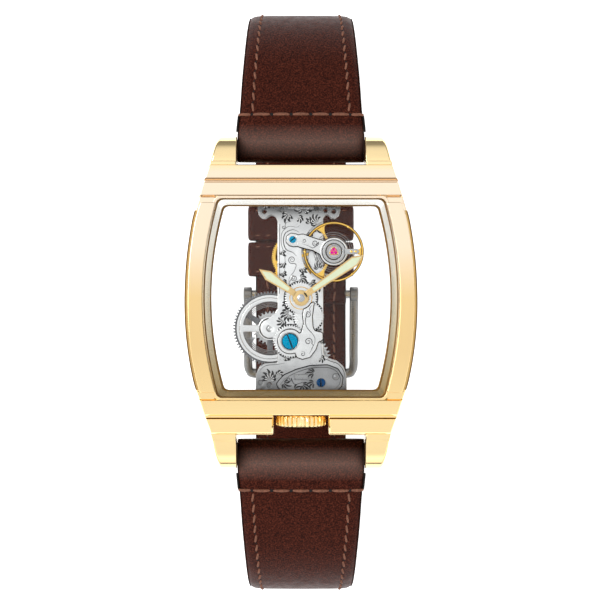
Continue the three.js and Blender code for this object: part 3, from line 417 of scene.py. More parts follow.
class Look:
    """A node material under construction."""

    def __init__(self, name):
        self.material = bpy.data.materials.new(name)
        self.material.use_nodes = True
        self.nodes = self.material.node_tree.nodes
        self.links = self.material.node_tree.links
        self.shader = self.nodes["Principled BSDF"]
        self.coords = self.node("TexCoord", {}, "Object")

    def fill(self, node, inputs):
        """Sets a node's inputs; one that is given another node's output is joined to it."""
        for name, value in inputs.items():
            if isinstance(value, bpy.types.NodeSocket):
                self.links.new(value, node.inputs[name])
            else:
                node.inputs[name].default_value = value

    def node(self, kind, inputs, output=0, **settings):
        """The output of a new node."""
        node = self.nodes.new("ShaderNode" + kind)
        for name, value in settings.items():
            setattr(node, name, value)
        self.fill(node, inputs)
        return node.outputs[output]

    def surface(self, inputs):
        self.fill(self.shader, inputs)

    def combined(self, kind, operation, *values, **settings):
        return self.node(kind, dict(enumerate(values)), operation=operation, **settings)

    def axis(self, name):
        return self.node("SeparateXYZ", {"Vector": self.coords}, name)

    def noise(self, scale, detail=3.0, vector=None, distortion=0.0):
        return self.node("TexNoise", {"Scale": scale, "Detail": detail, "Distortion": distortion,
                                      "Vector": vector or self.coords}, "Fac")

    def ramp(self, value, stops):
        node = self.nodes.new("ShaderNodeValToRGB")
        set_stops(node, stops)
        self.fill(node, {"Fac": value})
        return node.outputs["Color"]

    def ranged(self, value, low, high, near=0.3, far=0.7):
        """The value moved from the range near to far onto the range low to high."""
        return self.node("MapRange", {"Value": value, "From Min": near, "From Max": far,
                                      "To Min": low, "To Max": high})

    def bump(self, value, strength, distance, onto=None):
        inputs = {"Strength": strength, "Distance": distance, "Height": value}
        if onto:
            inputs["Normal"] = onto
        return self.node("Bump", inputs)


def metal(name, rgb, rough, vary=0.05, grain=None, bump=0.0):
    """Polished or brushed metal; grain stretches its fine scratches."""
    look = Look(name)
    base = linear(rgb)[:3]
    dark = (*[c * (1 - vary) for c in base], 1)
    light = (*[min(1, c * (1 + vary)) for c in base], 1)
    stretched = look.node("Mapping", {"Scale": grain, "Vector": look.coords}) if grain else None
    fine = look.noise(900, 4, stretched)
    look.surface({"Metallic": 1.0,
                  "Base Color": look.ramp(look.noise(350), [(0.3, dark), (0.7, light)]),
                  "Roughness": look.ranged(fine, rough * 0.8, rough * 1.25)})
    if bump:
        look.surface({"Normal": look.bump(fine, bump, 0.00002)})
    return look.material


def gold_with_painted_reflection(name, stops):
    """Polished yellow gold with painted reflections: its colour changes along the case from 6 to 12
    o'clock.
    """
    look = Look(name)
    tone = look.ranged(look.axis("Y"), 0, 1, -0.0175, 0.026)
    look.surface({"Metallic": 1.0,
                  "Base Color": look.ramp(tone, [(at, linear(rgb)) for at, rgb in stops]),
                  "Roughness": look.ranged(look.noise(60), 0.1, 0.14)})
    return look.material


def leather(name, dark, mid, light, rough, grain=1.0):
    """Dyed calf: fine dark pores in a mottled brown, with painted shade darkening the strap near the
    case and a painted highlight band across the fold at the lugs.
    """
    look = Look(name)
    grains = look.noise(4300, 2, distortion=0.3)
    dyed = look.ramp(grains, [(0.34, linear(dark)), (0.5, linear(mid)), (0.68, linear(light))])
    reach = look.combined("Math", "ABSOLUTE", look.axis("Y"))
    below = look.combined("Math", "SUBTRACT", 0.029, look.axis("Z"), use_clamp=True)
    away = look.combined("Math", "MULTIPLY_ADD", below, 10.0, reach)
    fold = look.ranged(away, 0, 1, 0.0218, 0.0305)
    # Painted shade: the leather darkens towards the case above the lugs; painted highlight: a light
    # band added across the fold.
    depth = look.ramp(fold, [(0, (0.4, 0.4, 0.4, 1)), (0.2, (0.5, 0.5, 0.5, 1)), (0.42, (1, 1, 1, 1))])
    painted_highlight = look.ramp(fold, [(0.12, (0, 0, 0, 1)), (0.42, (0.075, 0.058, 0.05, 1)),
                              (0.75, (0, 0, 0, 1))])
    creases = look.node("TexVoronoi", {"Scale": 1900, "Vector": look.coords}, "Distance",
                        feature="DISTANCE_TO_EDGE")
    pores = look.bump(grains, 0.45 * grain, 0.00007)
    look.surface({"Base Color": look.combined("VectorMath", "MULTIPLY_ADD", dyed, depth, painted_highlight),
                  "Roughness": look.ranged(look.noise(900, 4), rough * 0.85, rough * 1.2),
                  "Normal": look.bump(creases, 0.3 * grain, 0.00006, pores),
                  "IOR": 1.16, "Specular Tint": (0.6, 0.4, 0.33, 1)})
    return look.material


def plate_metal(name, rgb, rough):
    """Rhodium plate with painted shade darkening it towards both ends, and a faint hand-worked surface.
    """
    look = Look(name)
    stops = []
    for at, share in ((0.02, 0.1), (0.1, 0.3), (0.2, 0.66), (0.3, 0.95), (0.8, 0.98), (0.9, 0.72),
                      (0.96, 0.22)):
        stops.append((at, (*[c * share for c in linear(rgb)[:3]], 1)))
    # Painted shade: the colour darkens towards both ends of the plate in y.
    tone = look.ramp(look.ranged(look.axis("Y"), 0, 1, -0.016, 0.016), stops)
    worn = look.ramp(look.noise(420, 3), [(0.35, (0.86, 0.86, 0.87, 1)), (0.6, (1, 1, 1, 1))])
    fine = look.noise(1500, 4)
    look.surface({"Metallic": 1.0, "Base Color": look.combined("VectorMath", "MULTIPLY", tone, worn),
                  "Roughness": look.ranged(fine, rough * 0.85, rough * 1.2),
                  "Normal": look.bump(fine, 0.06, 0.00002)})
    return look.material


def plain(name, rgb, rough, spec=0.5, vary=0.08, scale=900):
    """Paint, rubber, thread or enamel, and the flat colours of painted shade and highlight: one colour,
    slightly mottled.
    """
    look = Look(name)
    base = linear(rgb)
    dark = (*[c * (1 - vary) for c in base[:3]], 1)
    look.surface({"Base Color": look.ramp(look.noise(scale), [(0.35, dark), (0.65, base)]),
                  "Roughness": look.ranged(look.noise(scale * 1.7), rough * 0.85, rough * 1.15),
                  "Specular IOR Level": spec})
    return look.material


def clear_crystal(name):
    """Coated sapphire: almost nothing but a faint reflection off its outer faces."""
    look = Look(name)
    tint = look.ramp(look.noise(60), [(0.3, (0.985, 0.99, 0.99, 1)), (0.7, (0.995, 1, 1, 1))])
    share = look.combined("Math", "SUBTRACT", look.node("Fresnel", {"IOR": 1.28}),
                          look.node("NewGeometry", {}, "Backfacing"), use_clamp=True)
    mix = look.node("MixShader", {"Fac": share, 1: look.node("BsdfTransparent", {"Color": tint}),
                                  2: look.node("BsdfGlossy", {"Roughness": 0.02})})
    look.links.new(mix, look.nodes["Material Output"].inputs["Surface"])
    look.nodes.remove(look.shader)
    return look.material


# Painted reflections: the case gold is lighter and darker along y, standing in for reflections of the
# studio.
GOLD = gold_with_painted_reflection("polished_gold", [
    (0, (255, 227, 168)), (0.08, (250, 219, 158)), (0.23, (243, 209, 149)), (0.42, (243, 209, 149)),
    (0.6, (250, 229, 200)), (0.87, (250, 229, 203)), (0.9, (254, 228, 174)), (1, (254, 228, 172))])
# Painted reflection on the flange bevel: tan at 6 o'clock rising to near white at 12.
BEVEL_GOLD_PAINTED_REFLECTION = gold_with_painted_reflection("bevel_gold_painted_reflection", [
    (0, (214, 180, 122)), (0.09, (232, 200, 142)), (0.3, (250, 232, 196)), (0.6, (253, 244, 226)),
    (0.76, (254, 250, 243)), (1, (254, 250, 243))])
DEEP_GOLD = metal("deep_gold", (206, 170, 108), 0.2, 0.05)
GILT = metal("gilt_brass", (240, 196, 100), 0.16, 0.05)
HAND_GOLD = metal("hand_gold", (222, 190, 134), 0.28, 0.04)
# Painted shade: dark bronze lines along the case sides, the flange edges and the balance rim.
BRONZE_SHADE_LINE = metal("bronze_painted_shade", (112, 80, 34), 0.35, 0.1)
PLATE = plate_metal("plate_rhodium", (236, 236, 236), 0.3)
RHODIUM = metal("rhodium", (222, 222, 222), 0.22, 0.04, (1, 8, 1))
BRUSHED = metal("brushed_rhodium", (146, 146, 147), 0.38, 0.2, (0.6, 14, 1), 0.2)
# Painted shadow: near black, for sheets put under pieces, in recesses and in screw slots.
SHADOW = plain("painted_shadow_sheet", (30, 29, 30), 0.8, 0.1, 0.3)
STEEL = metal("steel", (186, 186, 186), 0.22, 0.06)
TEETH_STEEL = metal("tooth_steel", (112, 112, 114), 0.3, 0.1)
BUCKLE_STEEL = metal("buckle_steel", (138, 137, 136), 0.32, 0.06, (1, 6, 1))
SPRING_STEEL = metal("spring_steel", (128, 124, 122), 0.35, 0.05)
BLUE = metal("blued_steel", (0, 142, 182), 0.25, 0.06)
DARK_BLUE = metal("dark_blued_steel", (8, 60, 104), 0.25, 0.06)
RUBY = plain("ruby", (224, 0, 152), 0.3, 0.1, 0.2)
LUME = plain("luminous_paint", (212, 219, 188), 0.8, 0.1, 0.03)
# Painted shade: near black in the engraved cuts and the barrel cover's groove.
ENGRAVING = plain("engraving_shadow", (40, 39, 40), 0.6, 0.2, 0.3)
# Painted highlight: the light centre of each engraved petal.
PETAL = plain("petal_painted_highlight", (206, 206, 206), 0.4, 0.5, 0.15)
CASE_SHADE = plain("case_shade", (92, 64, 32), 0.5, 0.3, 0.2)
# Painted shade: the grey of the engraved scroll lines.
LINE = plain("engraved_line_painted_shade", (78, 77, 78), 0.6, 0.2, 0.2)
LEATHER = leather("brown_leather", (31, 13, 11), (57, 24, 17), (84, 40, 29), 0.42)
EDGE = leather("leather_edge_paint", (26, 14, 11), (36, 20, 15), (48, 28, 22), 0.42, 0.3)
THREAD = plain("brown_thread", (132, 88, 70), 0.75, 0.15, 0.4, 3000)
# Dark thread for the edge loops, also used as painted shade in the stitch holes.
DARK_THREAD_AND_HOLE_SHADE = plain("dark_thread_and_hole_shade", (20, 15, 14), 0.7, 0.25, 0.4, 3000)
RUBBER = plain("gasket_rubber", (58, 44, 28), 0.6, 0.3)
CRYSTAL = clear_crystal("sapphire_crystal")


# ---- case ----

LUG_INNER = 10.15


def pair(outline, low, high, bevel, steps=3):
    """The same solid on both sides of the case."""
    return [prism(shape, low, high, bevel=bevel, steps=steps)
            for shape in (outline, mirror_x(outline))]


def half_block(start, end, inner, low, high, bevel, curve=0.3):
    """The same block on both sides, from x = inner to the side of the case."""
    right = [(at_height(CASE_SIDE, y), y) for y in spaced(start, end, 8)]
    return pair(rounded([(inner, start), *right, (inner, end)], curve), low, high, bevel)


def bar(rows, left=None):
    """A block across the case through (south, north, inset, z) rows; left starts it there."""
    rings = []
    for south, north, inset, z in rows:
        if left is None:
            rings.append([(x, y, z) for x, y in band(south, north, CASE_SIDE, inset, 6)])
        else:
            right = [(at_height(CASE_SIDE, y) - inset, y) for y in spaced(south, north, 6)]
            rings.append([(x, y, z) for x, y in [(left + inset, south), *right,
                                                 (left + inset, north)]])
    return loft(rings)


def mirrored(part):
    return [(-x, y, z) for x, y, z in part[0]], part[1]


def bowed(x, y):
    """The bowed side of the dial opening, x being its widest place."""
    return x - 2.3 * ((y - HANDS[1]) / 15.5) ** 2


def side_strip(start, end, far, near):
    """A strip up the right side of the case between two functions of y."""
    ys = spaced(start, end, 40)
    return [(far(y), y) for y in ys] + [(near(y), y) for y in reversed(ys)]


def lug(sx, sy):
    """One lug: full height at the case, rolled down to its tip."""
    stations = [(20.9, 29.2, 36.92), (22.0, 29.0, 36.9), (23.0, 28.9, 36.78), (24.0, 28.8, 36.52),
                (24.8, 28.8, 36.18), (25.4, 28.95, 35.75), (25.85, 29.3, 35.2), (26.12, 29.7, 34.5),
                (26.24, 30.3, 33.6)]
    rings = []
    for y, low, high in smooth(stations, 3):
        outer, wide, tight = at_height(CASE_SIDE, sy * y), 0.38, 0.1
        ring = []
        for cx, cz, r, start in ((outer - wide, high - wide, wide, 0),
                                 (LUG_INNER + tight, high - tight, tight, 90),
                                 (LUG_INNER + tight, low + tight, tight, 180),
                                 (outer - wide, low + wide, wide, 270)):
            ring += [(sx * px, sy * y, pz) for px, pz in arc((cx, cz), r, start, start + 90, 5)]
        rings.append(ring)
    return loft(rings)


def make_case():
    notch = [(-4.3, -20.7), (-4.3, -17.55), (4.3, -17.55), (4.3, -20.7)]
    right = [(at_height(CASE_SIDE, y), y) for y in spaced(-20.7, 21.3, 60)]
    outline = rounded([*notch, *right, *mirror_x(right)], 0.25)
    body = [prism(outline, 29.2, 36.9, [opening(15.95, 15.45, 13.15)], 0.22, 3)]
    body.append(bar([(18.98, 21.5, 0.06, 36.5), (18.98, 21.5, 0.06, 37.72), (19.03, 21.47, 0.08, 37.8),
                     (19.4, 21.36, 0.22, 38.14), (19.46, 21.28, 0.3, 38.18)]))
    half = bar([(-20.5, -17.92, 0.06, 36.5), (-20.5, -17.92, 0.06, 37.7), (-20.46, -17.95, 0.1, 37.78),
                (-20.22, -18.12, 0.24, 38.13), (-20.14, -18.2, 0.32, 38.18)], 4.3)
    body += [half, mirrored(half)]
    body += half_block(21.0, 22.15, 10.17, 36.2, 37.18, 0.16)
    body += half_block(-21.65, -20.4, 10.17, 36.2, 37.18, 0.16)
    body += [lug(sx, sy) for sx in (1, -1) for sy in (1, -1)]
    piece("case_shell", body, GOLD, "case", ["case_middle"])
    shades = []
    for sx, sy in ((1, 1), (1, -1), (-1, 1), (-1, -1)):
        rings = []
        for y, high in ((22.4, 36.72), (23.0, 36.62), (24.0, 36.36), (24.8, 36.02), (25.4, 35.6),
                        (25.85, 35.05)):
            corners = ((10.125, 30.5), (10.16, 30.5), (10.16, high), (10.125, high))
            rings.append([(sx * x, sy * y, z) for x, z in corners])
        shades.append(loft(rings))
    piece("lug_inner_shades", shades, CASE_SHADE, "case", even=False)
    wing = side_strip(-13.7, 14.4, lambda y: at_height(CASE_SIDE, y), lambda y: bowed(15.95, y))
    piece("case_side_wings", pair(rounded(wing, 0.25), 36.6, 37.32, 0.12), DEEP_GOLD, "case")
    # Painted shade: dark lines just outside the bezel rail and along the case's outer edge.
    lines = []
    for table, outer, inner, z in ((RAIL_SIDE, -0.12, -0.02, 37.37), (CASE_SIDE, 0.0, 0.2, 37.345)):
        line = side_strip(-13.6, 14.3, lambda y: at_height(table, y) - outer,
                          lambda y: at_height(table, y) - inner)
        lines += pair(line, 37.2, z, 0.01, 2)
    piece("case_side_shade_lines", lines, BRONZE_SHADE_LINE, "case")

    rail = side_strip(-13.95, 15.55, lambda y: at_height(RAIL_SIDE, y), lambda y: bowed(15.34, y))
    frame_parts = [
        *pair(rounded(rail, 0.45), 36.92, 39.2, 0.15),
        bar([(16.3, 18.76, 0.1, 36.92), (16.3, 18.76, 0.1, 38.5), (16.34, 18.73, 0.12, 38.56),
             (16.66, 18.6, 0.28, 38.92), (16.72, 18.52, 0.36, 38.97)]),
        bar([(-17.58, -14.98, 0.1, 36.92), (-17.58, -14.98, 0.1, 38.55), (-17.55, -15.02, 0.13, 38.62),
             (-17.36, -15.2, 0.28, 38.92), (-17.28, -15.28, 0.36, 38.97)]),
        prism(opening(15.85, 15.65, 13.35), 36.92, 38.75, [opening(15.5, 15.3, 13.0)], 0.06),
    ]
    for start, end in ((15.4, 16.6), (-15.15, -13.8)):
        frame_parts += half_ledge(start, end)
    piece("bezel_frame", frame_parts, GOLD, "case", ["bezel"])

    rings = [[(x, y, z) for x, y in opening(*size)] for size, z in (
        ((14.5, 14.15, 12.2, 0.75), 35.92), ((14.5, 14.15, 12.2, 0.75), 36.5),
        ((14.56, 14.21, 12.26, 0.76), 36.57), ((15.42, 15.1, 12.88, 0.88), 37.08),
        ((15.48, 15.16, 12.92, 0.9), 37.14), ((15.74, 15.38, 13.08, 0.9), 37.14),
        ((15.76, 15.4, 13.1, 0.9), 35.92))]
    piece("flange_bevel", [loft(rings, closed=True)], BEVEL_GOLD_PAINTED_REFLECTION, "case",
          ["inner_flange"], even=False)
    # Painted shade: dark rings along the inner and outer edges of the flange bevel.
    lines = []
    for near, far, curve, low, high in ((14.34, 14.62, 0.75, 36.2, 36.58),
                                        (15.36, 15.58, 0.88, 37.0, 37.18)):
        inside, outside = [(h, h - 0.34, 12.3 * h / 14.5 - 0.24, curve) for h in (near, far)]
        lip = (near + 0.06, near - 0.28, 12.3 * near / 14.5 - 0.18, curve)
        line = [(inside, low), (inside, high - 0.04), (lip, high), (outside, high), (outside, low)]
        lines.append(loft([[(x, y, z) for x, y in opening(*size)] for size, z in line], closed=True))
    piece("flange_edge_shade_lines", lines, BRONZE_SHADE_LINE, "case", even=False)


def half_ledge(start, end):
    """The low ledges of the bezel at both ends of its rails."""
    right = [(at_height(CASE_SIDE, y) - 0.25, y) for y in spaced(start, end, 4)]
    return pair(rounded([(13.36, start), *right, (13.36, end)], 0.2), 36.92, 38.45, 0.12)


def make_crown():
    flutes, per = 30, 8

    def ring(y, radius, depth):
        out = []
        for i in range(flutes * per):
            wave = 0.5 - 0.5 * math.cos(2 * math.pi * i / per)
            a = 2 * math.pi * i / (flutes * per)
            r = radius - depth * wave ** 1.6
            out.append((r * math.cos(a), y, STEM_Z + r * math.sin(a)))
        return out

    rings = [ring(-17.62, 0.6, 0), ring(-17.62, 3.4, 0), ring(-17.86, 3.5, 0), ring(-17.9, 3.75, 0),
             ring(-18.05, 3.95, 0.22), ring(-19.4, 3.95, 0.24), ring(-19.55, 3.82, 0.2),
             ring(-19.6, 3.5, 0.02), ring(-19.72, 3.3, 0), ring(-19.88, 2.9, 0),
             ring(-19.9, 0.6, 0)]
    piece("crown_fluted", [loft(rings)], GOLD, "crown_group", ["crown"], even=False)


# ---- strap ----

def strap_frames(stations, per=7):
    """Rows of (centre, along, outward, half width, half thickness) down a strap half."""
    rows = smooth(stations, per)
    side = math.copysign(1, stations[0][0])
    frames = []
    for i, (y, z, w, t) in enumerate(rows):
        y1, z1 = rows[max(i - 1, 0)][:2]
        y2, z2 = rows[min(i + 1, len(rows) - 1)][:2]
        along = Vector((0, y2 - y1, z2 - z1)).normalized()
        outward = Vector((0, -side * along.z, side * along.y))
        frames.append((Vector((0, y, z)), along, outward, w, t))
    return frames


def strap_height(x, w, t):
    """How far the leather stands off its centre line at x."""
    u = min(abs(x) / w, 1)
    groove = 0.05 * math.exp(-((abs(x) - (w - 2.1)) / 0.3) ** 2)
    return t * math.sqrt(max(0, 1 - u ** 14)) * (0.95 + 0.06 * (1 - u * u)) - groove * min(1, t)


def strap_skin(frames, across=58):
    rings = []
    for centre, _, outward, w, t in frames:
        ring = []
        for side in (1, -1):
            for i in range(across):
                x = side * w * math.sin(math.pi / 2 * (1 - 2 * i / across))
                ring.append(tuple(centre + Vector((x, 0, 0))
                                  + outward * (side * strap_height(x, w, t))))
        rings.append(ring)
    return loft(rings)


def strap_spots(frames, start_y, pitch, last=1.0):
    """Frames at even steps along the strap, from where it first passes start_y outwards."""
    begin = next(i for i, f in enumerate(frames) if abs(f[0].y) >= abs(start_y)
                 and f[0].z > 20)
    spots, run, goal = [], 0.0, 0.0
    end = int(len(frames) * last)
    for a, b in zip(frames[begin:end], frames[begin + 1:end]):
        length = (b[0] - a[0]).length
        while goal <= run + length:
            k = (goal - run) / max(length, 1e-9)
            spots.append(tuple(p.lerp(q, k) if isinstance(p, Vector) else p + (q - p) * k
                               for p, q in zip(a, b)))
            goal += pitch
        run += length
    return spots


def stitch(middle, along, outward, length, radius):
    """One stitch: a short twisted thread that dives into the leather at both ends."""
    points = []
    for k in range(7):
        u = k / 6 * 2 - 1
        points.append(middle + along * (length / 2 * u) + outward * (0.09 - 0.26 * u ** 4))
    return tube(points, lambda s: radius * (0.7 + 0.3 * math.sin(math.pi * s)), 7, 0.8, outward)


def strap_threads(frames, row_y):
    light, dark = [], []
    for centre, along, outward, w, t in strap_spots(frames, abs(row_y) + 1.0, 1.85, 0.93):
        for sx in (1, -1):
            for face in (1, -1):
                x = sx * (w - 2.1)
                spot = centre + Vector((x, 0, 0)) + outward * (face * strap_height(x, w, t))
                slant = along + Vector((0.16 * sx * face, 0, 0))
                light.append(stitch(spot, slant.normalized(), outward * face, 1.55, 0.2))
                # A dark plug at each stitch hole: painted shade in the hole.
                hole = spot + along * 0.92 - outward * (face * 0.12)
                dark.append(tube([hole, hole + outward * (face * 0.13)], 0.15, 8, 1, (1, 0, 0)))
    centre, along, outward, w, t = strap_spots(frames, row_y, 500)[0]
    row = [(3.1 * k, 2.7) for k in range(-2, 3)] + [(-8.85, 2.1), (8.85, 2.1)]
    for x, length in row:
        spot = centre + Vector((x, 0, 0)) + outward * strap_height(x, w, t)
        light.append(stitch(spot, Vector((1, 0, 0)), outward, length, 0.26))
    # Dark plugs of painted shade at the holes of the cross stitch.
    for x in (3.1 * k - 1.55 for k in range(-2, 4)):
        hole = centre + Vector((x, 0, 0)) + outward * (strap_height(x, w, t) - 0.1)
        dark.append(tube([hole, hole + outward * 0.12], 0.27, 10, 1, (1, 0, 0)))
    for sx in (1, -1):
        run = []
        for reach in (0.1, 0.6, 1.2, 1.8, 2.4):
            centre, along, outward, w, t = strap_spots(frames, abs(row_y) - reach, 500)[0]
            run.append(centre + Vector((sx * (w + 0.05), 0, 0)) + outward * (0.5 * t))
        dark.append(tube(run, 0.17, 8, 1, outward))
    return light, dark


def make_strap():
    for name, stations in (("strap_12", STRAP_12), ("strap_6", STRAP_6)):
        frames = strap_frames(stations)
        row_y = 29.2 if name == "strap_12" else -29.2
        strap = piece(f"{name}_leather", [strap_skin(frames)], LEATHER, "case", [name],
                      even=False, angle=60)
        cutters = []
        if name == "strap_12":
            slot = rounded([(-1.25, -2), (1.25, -2), (1.25, 4), (-1.25, 4)], 0.9, 5)
            cutters.append(prism(slot, 1.2, 7, bevel=0.05))
        else:
            oval = arc((0, -2.4), 0.95, 0, 180, 10) + arc((0, -5.3), 0.95, 180, 360, 10)
            cutters.append(prism(oval, -0.5, 6, bevel=0.05))
            for y in (-17.4, -10.9, 2.0, 8.5):
                hole = arc((0, y + 0.4), 0.9, 0, 180, 10) + arc((0, y - 0.4), 0.9, 180, 360, 10)
                cutters.append(prism(hole, -0.5, 6, bevel=0.05))
        carved(strap, cutters)
        light, dark = strap_threads(frames, row_y)
        piece(f"{name}_stitching", light, THREAD, "case", even=False, angle=80)
        piece(f"{name}_edge_loops_and_hole_shade", dark, DARK_THREAD_AND_HOLE_SHADE, "case", even=False, angle=80)
        edge = []
        for sx in (1, -1):
            rings = []
            for centre, along, outward, w, t in frames[8:-3]:
                ring = []
                for k in range(8):
                    a = 2 * math.pi * k / 8
                    x = sx * (w - 0.1 + 0.11 * math.cos(a))
                    ring.append(tuple(centre + Vector((x, 0, 0)) + outward * (t * 0.62 * math.sin(a))))
                rings.append(ring)
            edge.append(loft(rings))
        piece(f"{name}_painted_edges", edge, EDGE, "case", even=False, angle=80)


def keeper_loop(near, far):
    """A leather band round both strap halves, its section crowned."""
    w, top = KEEPER_HALF - 0.02, KEEPER_TOP - 0.02
    middle, reach = (near + far) / 2, (far - near) / 2
    mid_wall = KEEPER_WALL / 2
    x1, z0, z1, r = w - mid_wall, mid_wall + 0.02, top - mid_wall, 0.8
    path = []
    for cx, cz, start in ((x1 - r, z1 - r, 0), (r - x1, z1 - r, 90), (r - x1, z0 + r, 180),
                          (x1 - r, z0 + r, 270)):
        for k in range(9):
            a = math.radians(start + 90 * k / 8)
            path.append((cx + r * math.cos(a), cz + r * math.sin(a), a))
    rings = []
    for x, z, a in path:
        ring = []
        for k in range(28):
            s = 2 * math.pi * k / 28
            c, n = math.cos(s), math.sin(s)
            across = reach * squared(c, 0.3)
            out = mid_wall * squared(n, 0.6)
            ring.append((x + out * math.cos(a), middle + across, z + out * math.sin(a)))
        rings.append(ring)
    return loft(rings, closed=True)


def make_keepers():
    bodies = {"fixed_keeper": "case", "free_keeper": "free_keeper_group"}
    for name, (near, far) in KEEPERS.items():
        piece(f"{name}_leather", [keeper_loop(near, far)], LEATHER, bodies[name],
              [name], even=False, angle=60)
        threads = []
        for y in (near + 0.8, far - 0.8):
            for k in range(9):
                x = (k - 4) * 1.9
                for z, up in ((KEEPER_TOP - 0.1, 1), (0.1, -1)):
                    spot = Vector((x, y, z - up * 0.06))
                    threads.append(stitch(spot, Vector((1, 0, 0)), Vector((0, 0, up)), 1.3, 0.12))
        piece(f"{name}_stitching", threads, THREAD, bodies[name], even=False, angle=80)


def make_buckle():
    x, y0, z0 = 9.42, *BUCKLE_BAR
    half = [(x, 2.3, 4.35), (x, y0, 4.3), (x, -1.0, 3.95), (x, -4.5, 3.2), (x, -8.5, 2.35),
            (x, -11.2, 1.75), (9.1, -12.3, 1.5), (8.2, -12.72, 1.44), (5, -12.75, 1.43),
            (0, -12.75, 1.43)]
    path = smooth(half, 5)
    path += [(-px, py, pz) for px, py, pz in reversed(path[:-1])]
    rings = []
    for i, p in enumerate(path):
        a, b = Vector(path[max(i - 1, 0)]), Vector(path[min(i + 1, len(path) - 1)])
        along = (b - a).normalized()
        side = along.cross(Vector((0, 0, 1))).normalized()
        up = side.cross(along)
        ring = []
        grow = 1.0 if abs(p[0]) > 9 else 1.12
        for k in range(20):
            s = 2 * math.pi * k / 20
            c, n = math.cos(s), math.sin(s)
            ring.append(tuple(Vector(p) + side * (0.76 * grow * squared(c, 0.55))
                              + up * (0.6 * squared(n, 0.6))))
        rings.append(ring)
    turn = Matrix.Rotation(math.radians(90), 4, "Y")
    bosses = []
    for sx in (1, -1):
        boss = lathe([(0.1, -0.74), (1.15, -0.74), (1.3, -0.6), (1.3, 0.6), (1.15, 0.74),
                      (0.1, 0.74)], steps=36)
        bosses.append(moved(boss, Matrix.Translation((sx * 9.42, y0, z0)) @ turn))
    piece("buckle_loop", [loft(rings), *bosses], BUCKLE_STEEL, "buckle_group",
          ["buckle_frame"], even=False, angle=45)

    line = smooth([(0.9, 5.0), (-0.4, 4.2), (-2.4, 3.3), (-4.1, 1.9), (-5.6, 0.75), (-7.0, 0.42),
                   (-10, 0.4), (-13.4, 0.4), (-14.1, 0.4)], 5)
    rings = []
    for i, (y, z) in enumerate(line):
        y1, z1 = line[max(i - 1, 0)]
        y2, z2 = line[min(i + 1, len(line) - 1)]
        along = Vector((0, y2 - y1, z2 - z1)).normalized()
        up = Vector((0, along.z, -along.y))
        s = i / (len(line) - 1)
        w, t = 0.73 - 0.14 * s, (0.5 - 0.17 * min(1, s * 1.6)) * (1 if i < len(line) - 2 else 0.6)
        rings.append([tuple(Vector((w * squared(math.cos(a), 0.6), y, z))
                            + up * (t * squared(math.sin(a), 0.6)))
                      for a in (2 * math.pi * k / 16 for k in range(16))])
    eye = lathe([(0.79, -0.73), (1.1, -0.73), (1.2, -0.6), (1.2, 0.6), (1.1, 0.73), (0.79, 0.73)],
                steps=36, closed=True)
    eye = moved(eye, Matrix.Translation((0, y0, z0)) @ turn)
    piece("buckle_pin", [loft(rings), eye], STEEL, "tongue_group", ["buckle_tongue"],
          even=False, angle=50)


# ---- movement plates ----

PLATE_OUTLINE = [
    (3.5, -7.6), (3.7, -8.4), (4.5, -8.95), (5.7, -9.3), (6.7, -10.1), (7.2, -11.4),
    (7.25, -15.2), (-7.15, -15.2), (-7.15, -11.4), (-6.6, -10.2), (-5.6, -9.6), (-3.7, -9.5),
    (-3.7, 12.9), (-4.0, 13.6), (-4.6, 13.9), (-5.1, 13.7), (-5.6, 13.3), (-6.2, 13.4),
    (-6.7, 13.9), (-6.85, 14.6), (-6.85, 16.1), (6.25, 16.1), (6.25, 14.6), (6.05, 13.8),
    (5.4, 13.3), (4.8, 13.35), (4.4, 13.8), (3.9, 13.9), (3.5, 13.3),
]
FLANGE_HOLES = [(-5.75, 14.45), (-3.0, 14.7), (2.4, 14.95), (3.9, 14.6), (5.2, 14.4)]
BASE_HOLES = [(-6.4, -12.7), (-5.0, -13.05)]


def stroke(points, width, z, taper=True):
    """An engraved cut: a thin line just proud of the surface, coloured by its material: painted shade
    in the cut, and a painted highlight on a petal.
    """
    if taper:
        def radius(s):
            return width / 2 * (0.25 + 0.75 * math.sin(math.pi * min(max(s, 0.02), 0.98)))
    else:
        radius = width / 2
    return tube([(x, y, BASE + z) for x, y in points], radius, 6, 0.16 / max(width, 0.1))


def engraved(name, cuts, look):
    piece(name, cuts, look, "case", even=False, angle=80)


# A dark sheet of painted shadow under a piece or in a recess.
def shadow_sheet(name, parts):
    piece(name, parts, SHADOW, "case", even=False)


def scroll(centre, radius, z, start=0.0, turns=1.6, hand=1, width=0.13, tail=()):
    """A curl that runs out into a stem."""
    line = []
    steps = round(turns * 18)
    for i in range(steps + 1):
        s = i / steps
        line.append(polar(centre, radius * (0.12 + 0.88 * s), start + hand * 360 * turns * (s - 1)))
    if tail:
        line = line[:-1] + smooth([line[-1], *tail], 6)
    return stroke(line, width, z)


def leaf(root, angle, length, bend, z, width):
    """One frond: a cut that bends more towards its tip."""
    line = [root]
    for i in range(10):
        a = math.radians(angle + bend * (i / 9) ** 1.5)
        x, y = line[-1]
        line.append((x + length / 10 * math.cos(a), y + length / 10 * math.sin(a)))
    return stroke(line, width, z)


def fan(root, angle, count, spread, length, z, bend=80, width=0.23):
    """An acanthus leaf: fronds round one root, curling left for an odd angle, else right."""
    out = []
    side = 1 if angle % 2 else -1
    for i in range(count):
        share = i / max(count - 1, 1)
        start = angle + spread * (share - 0.5)
        long = 1.25 * length * (1 - 0.4 * abs(2 * share - 1)) - 0.2
        base = polar(root, 0.26, start)
        out.append(leaf(base, start - side * 12, long, side * bend, z, width))
    return out


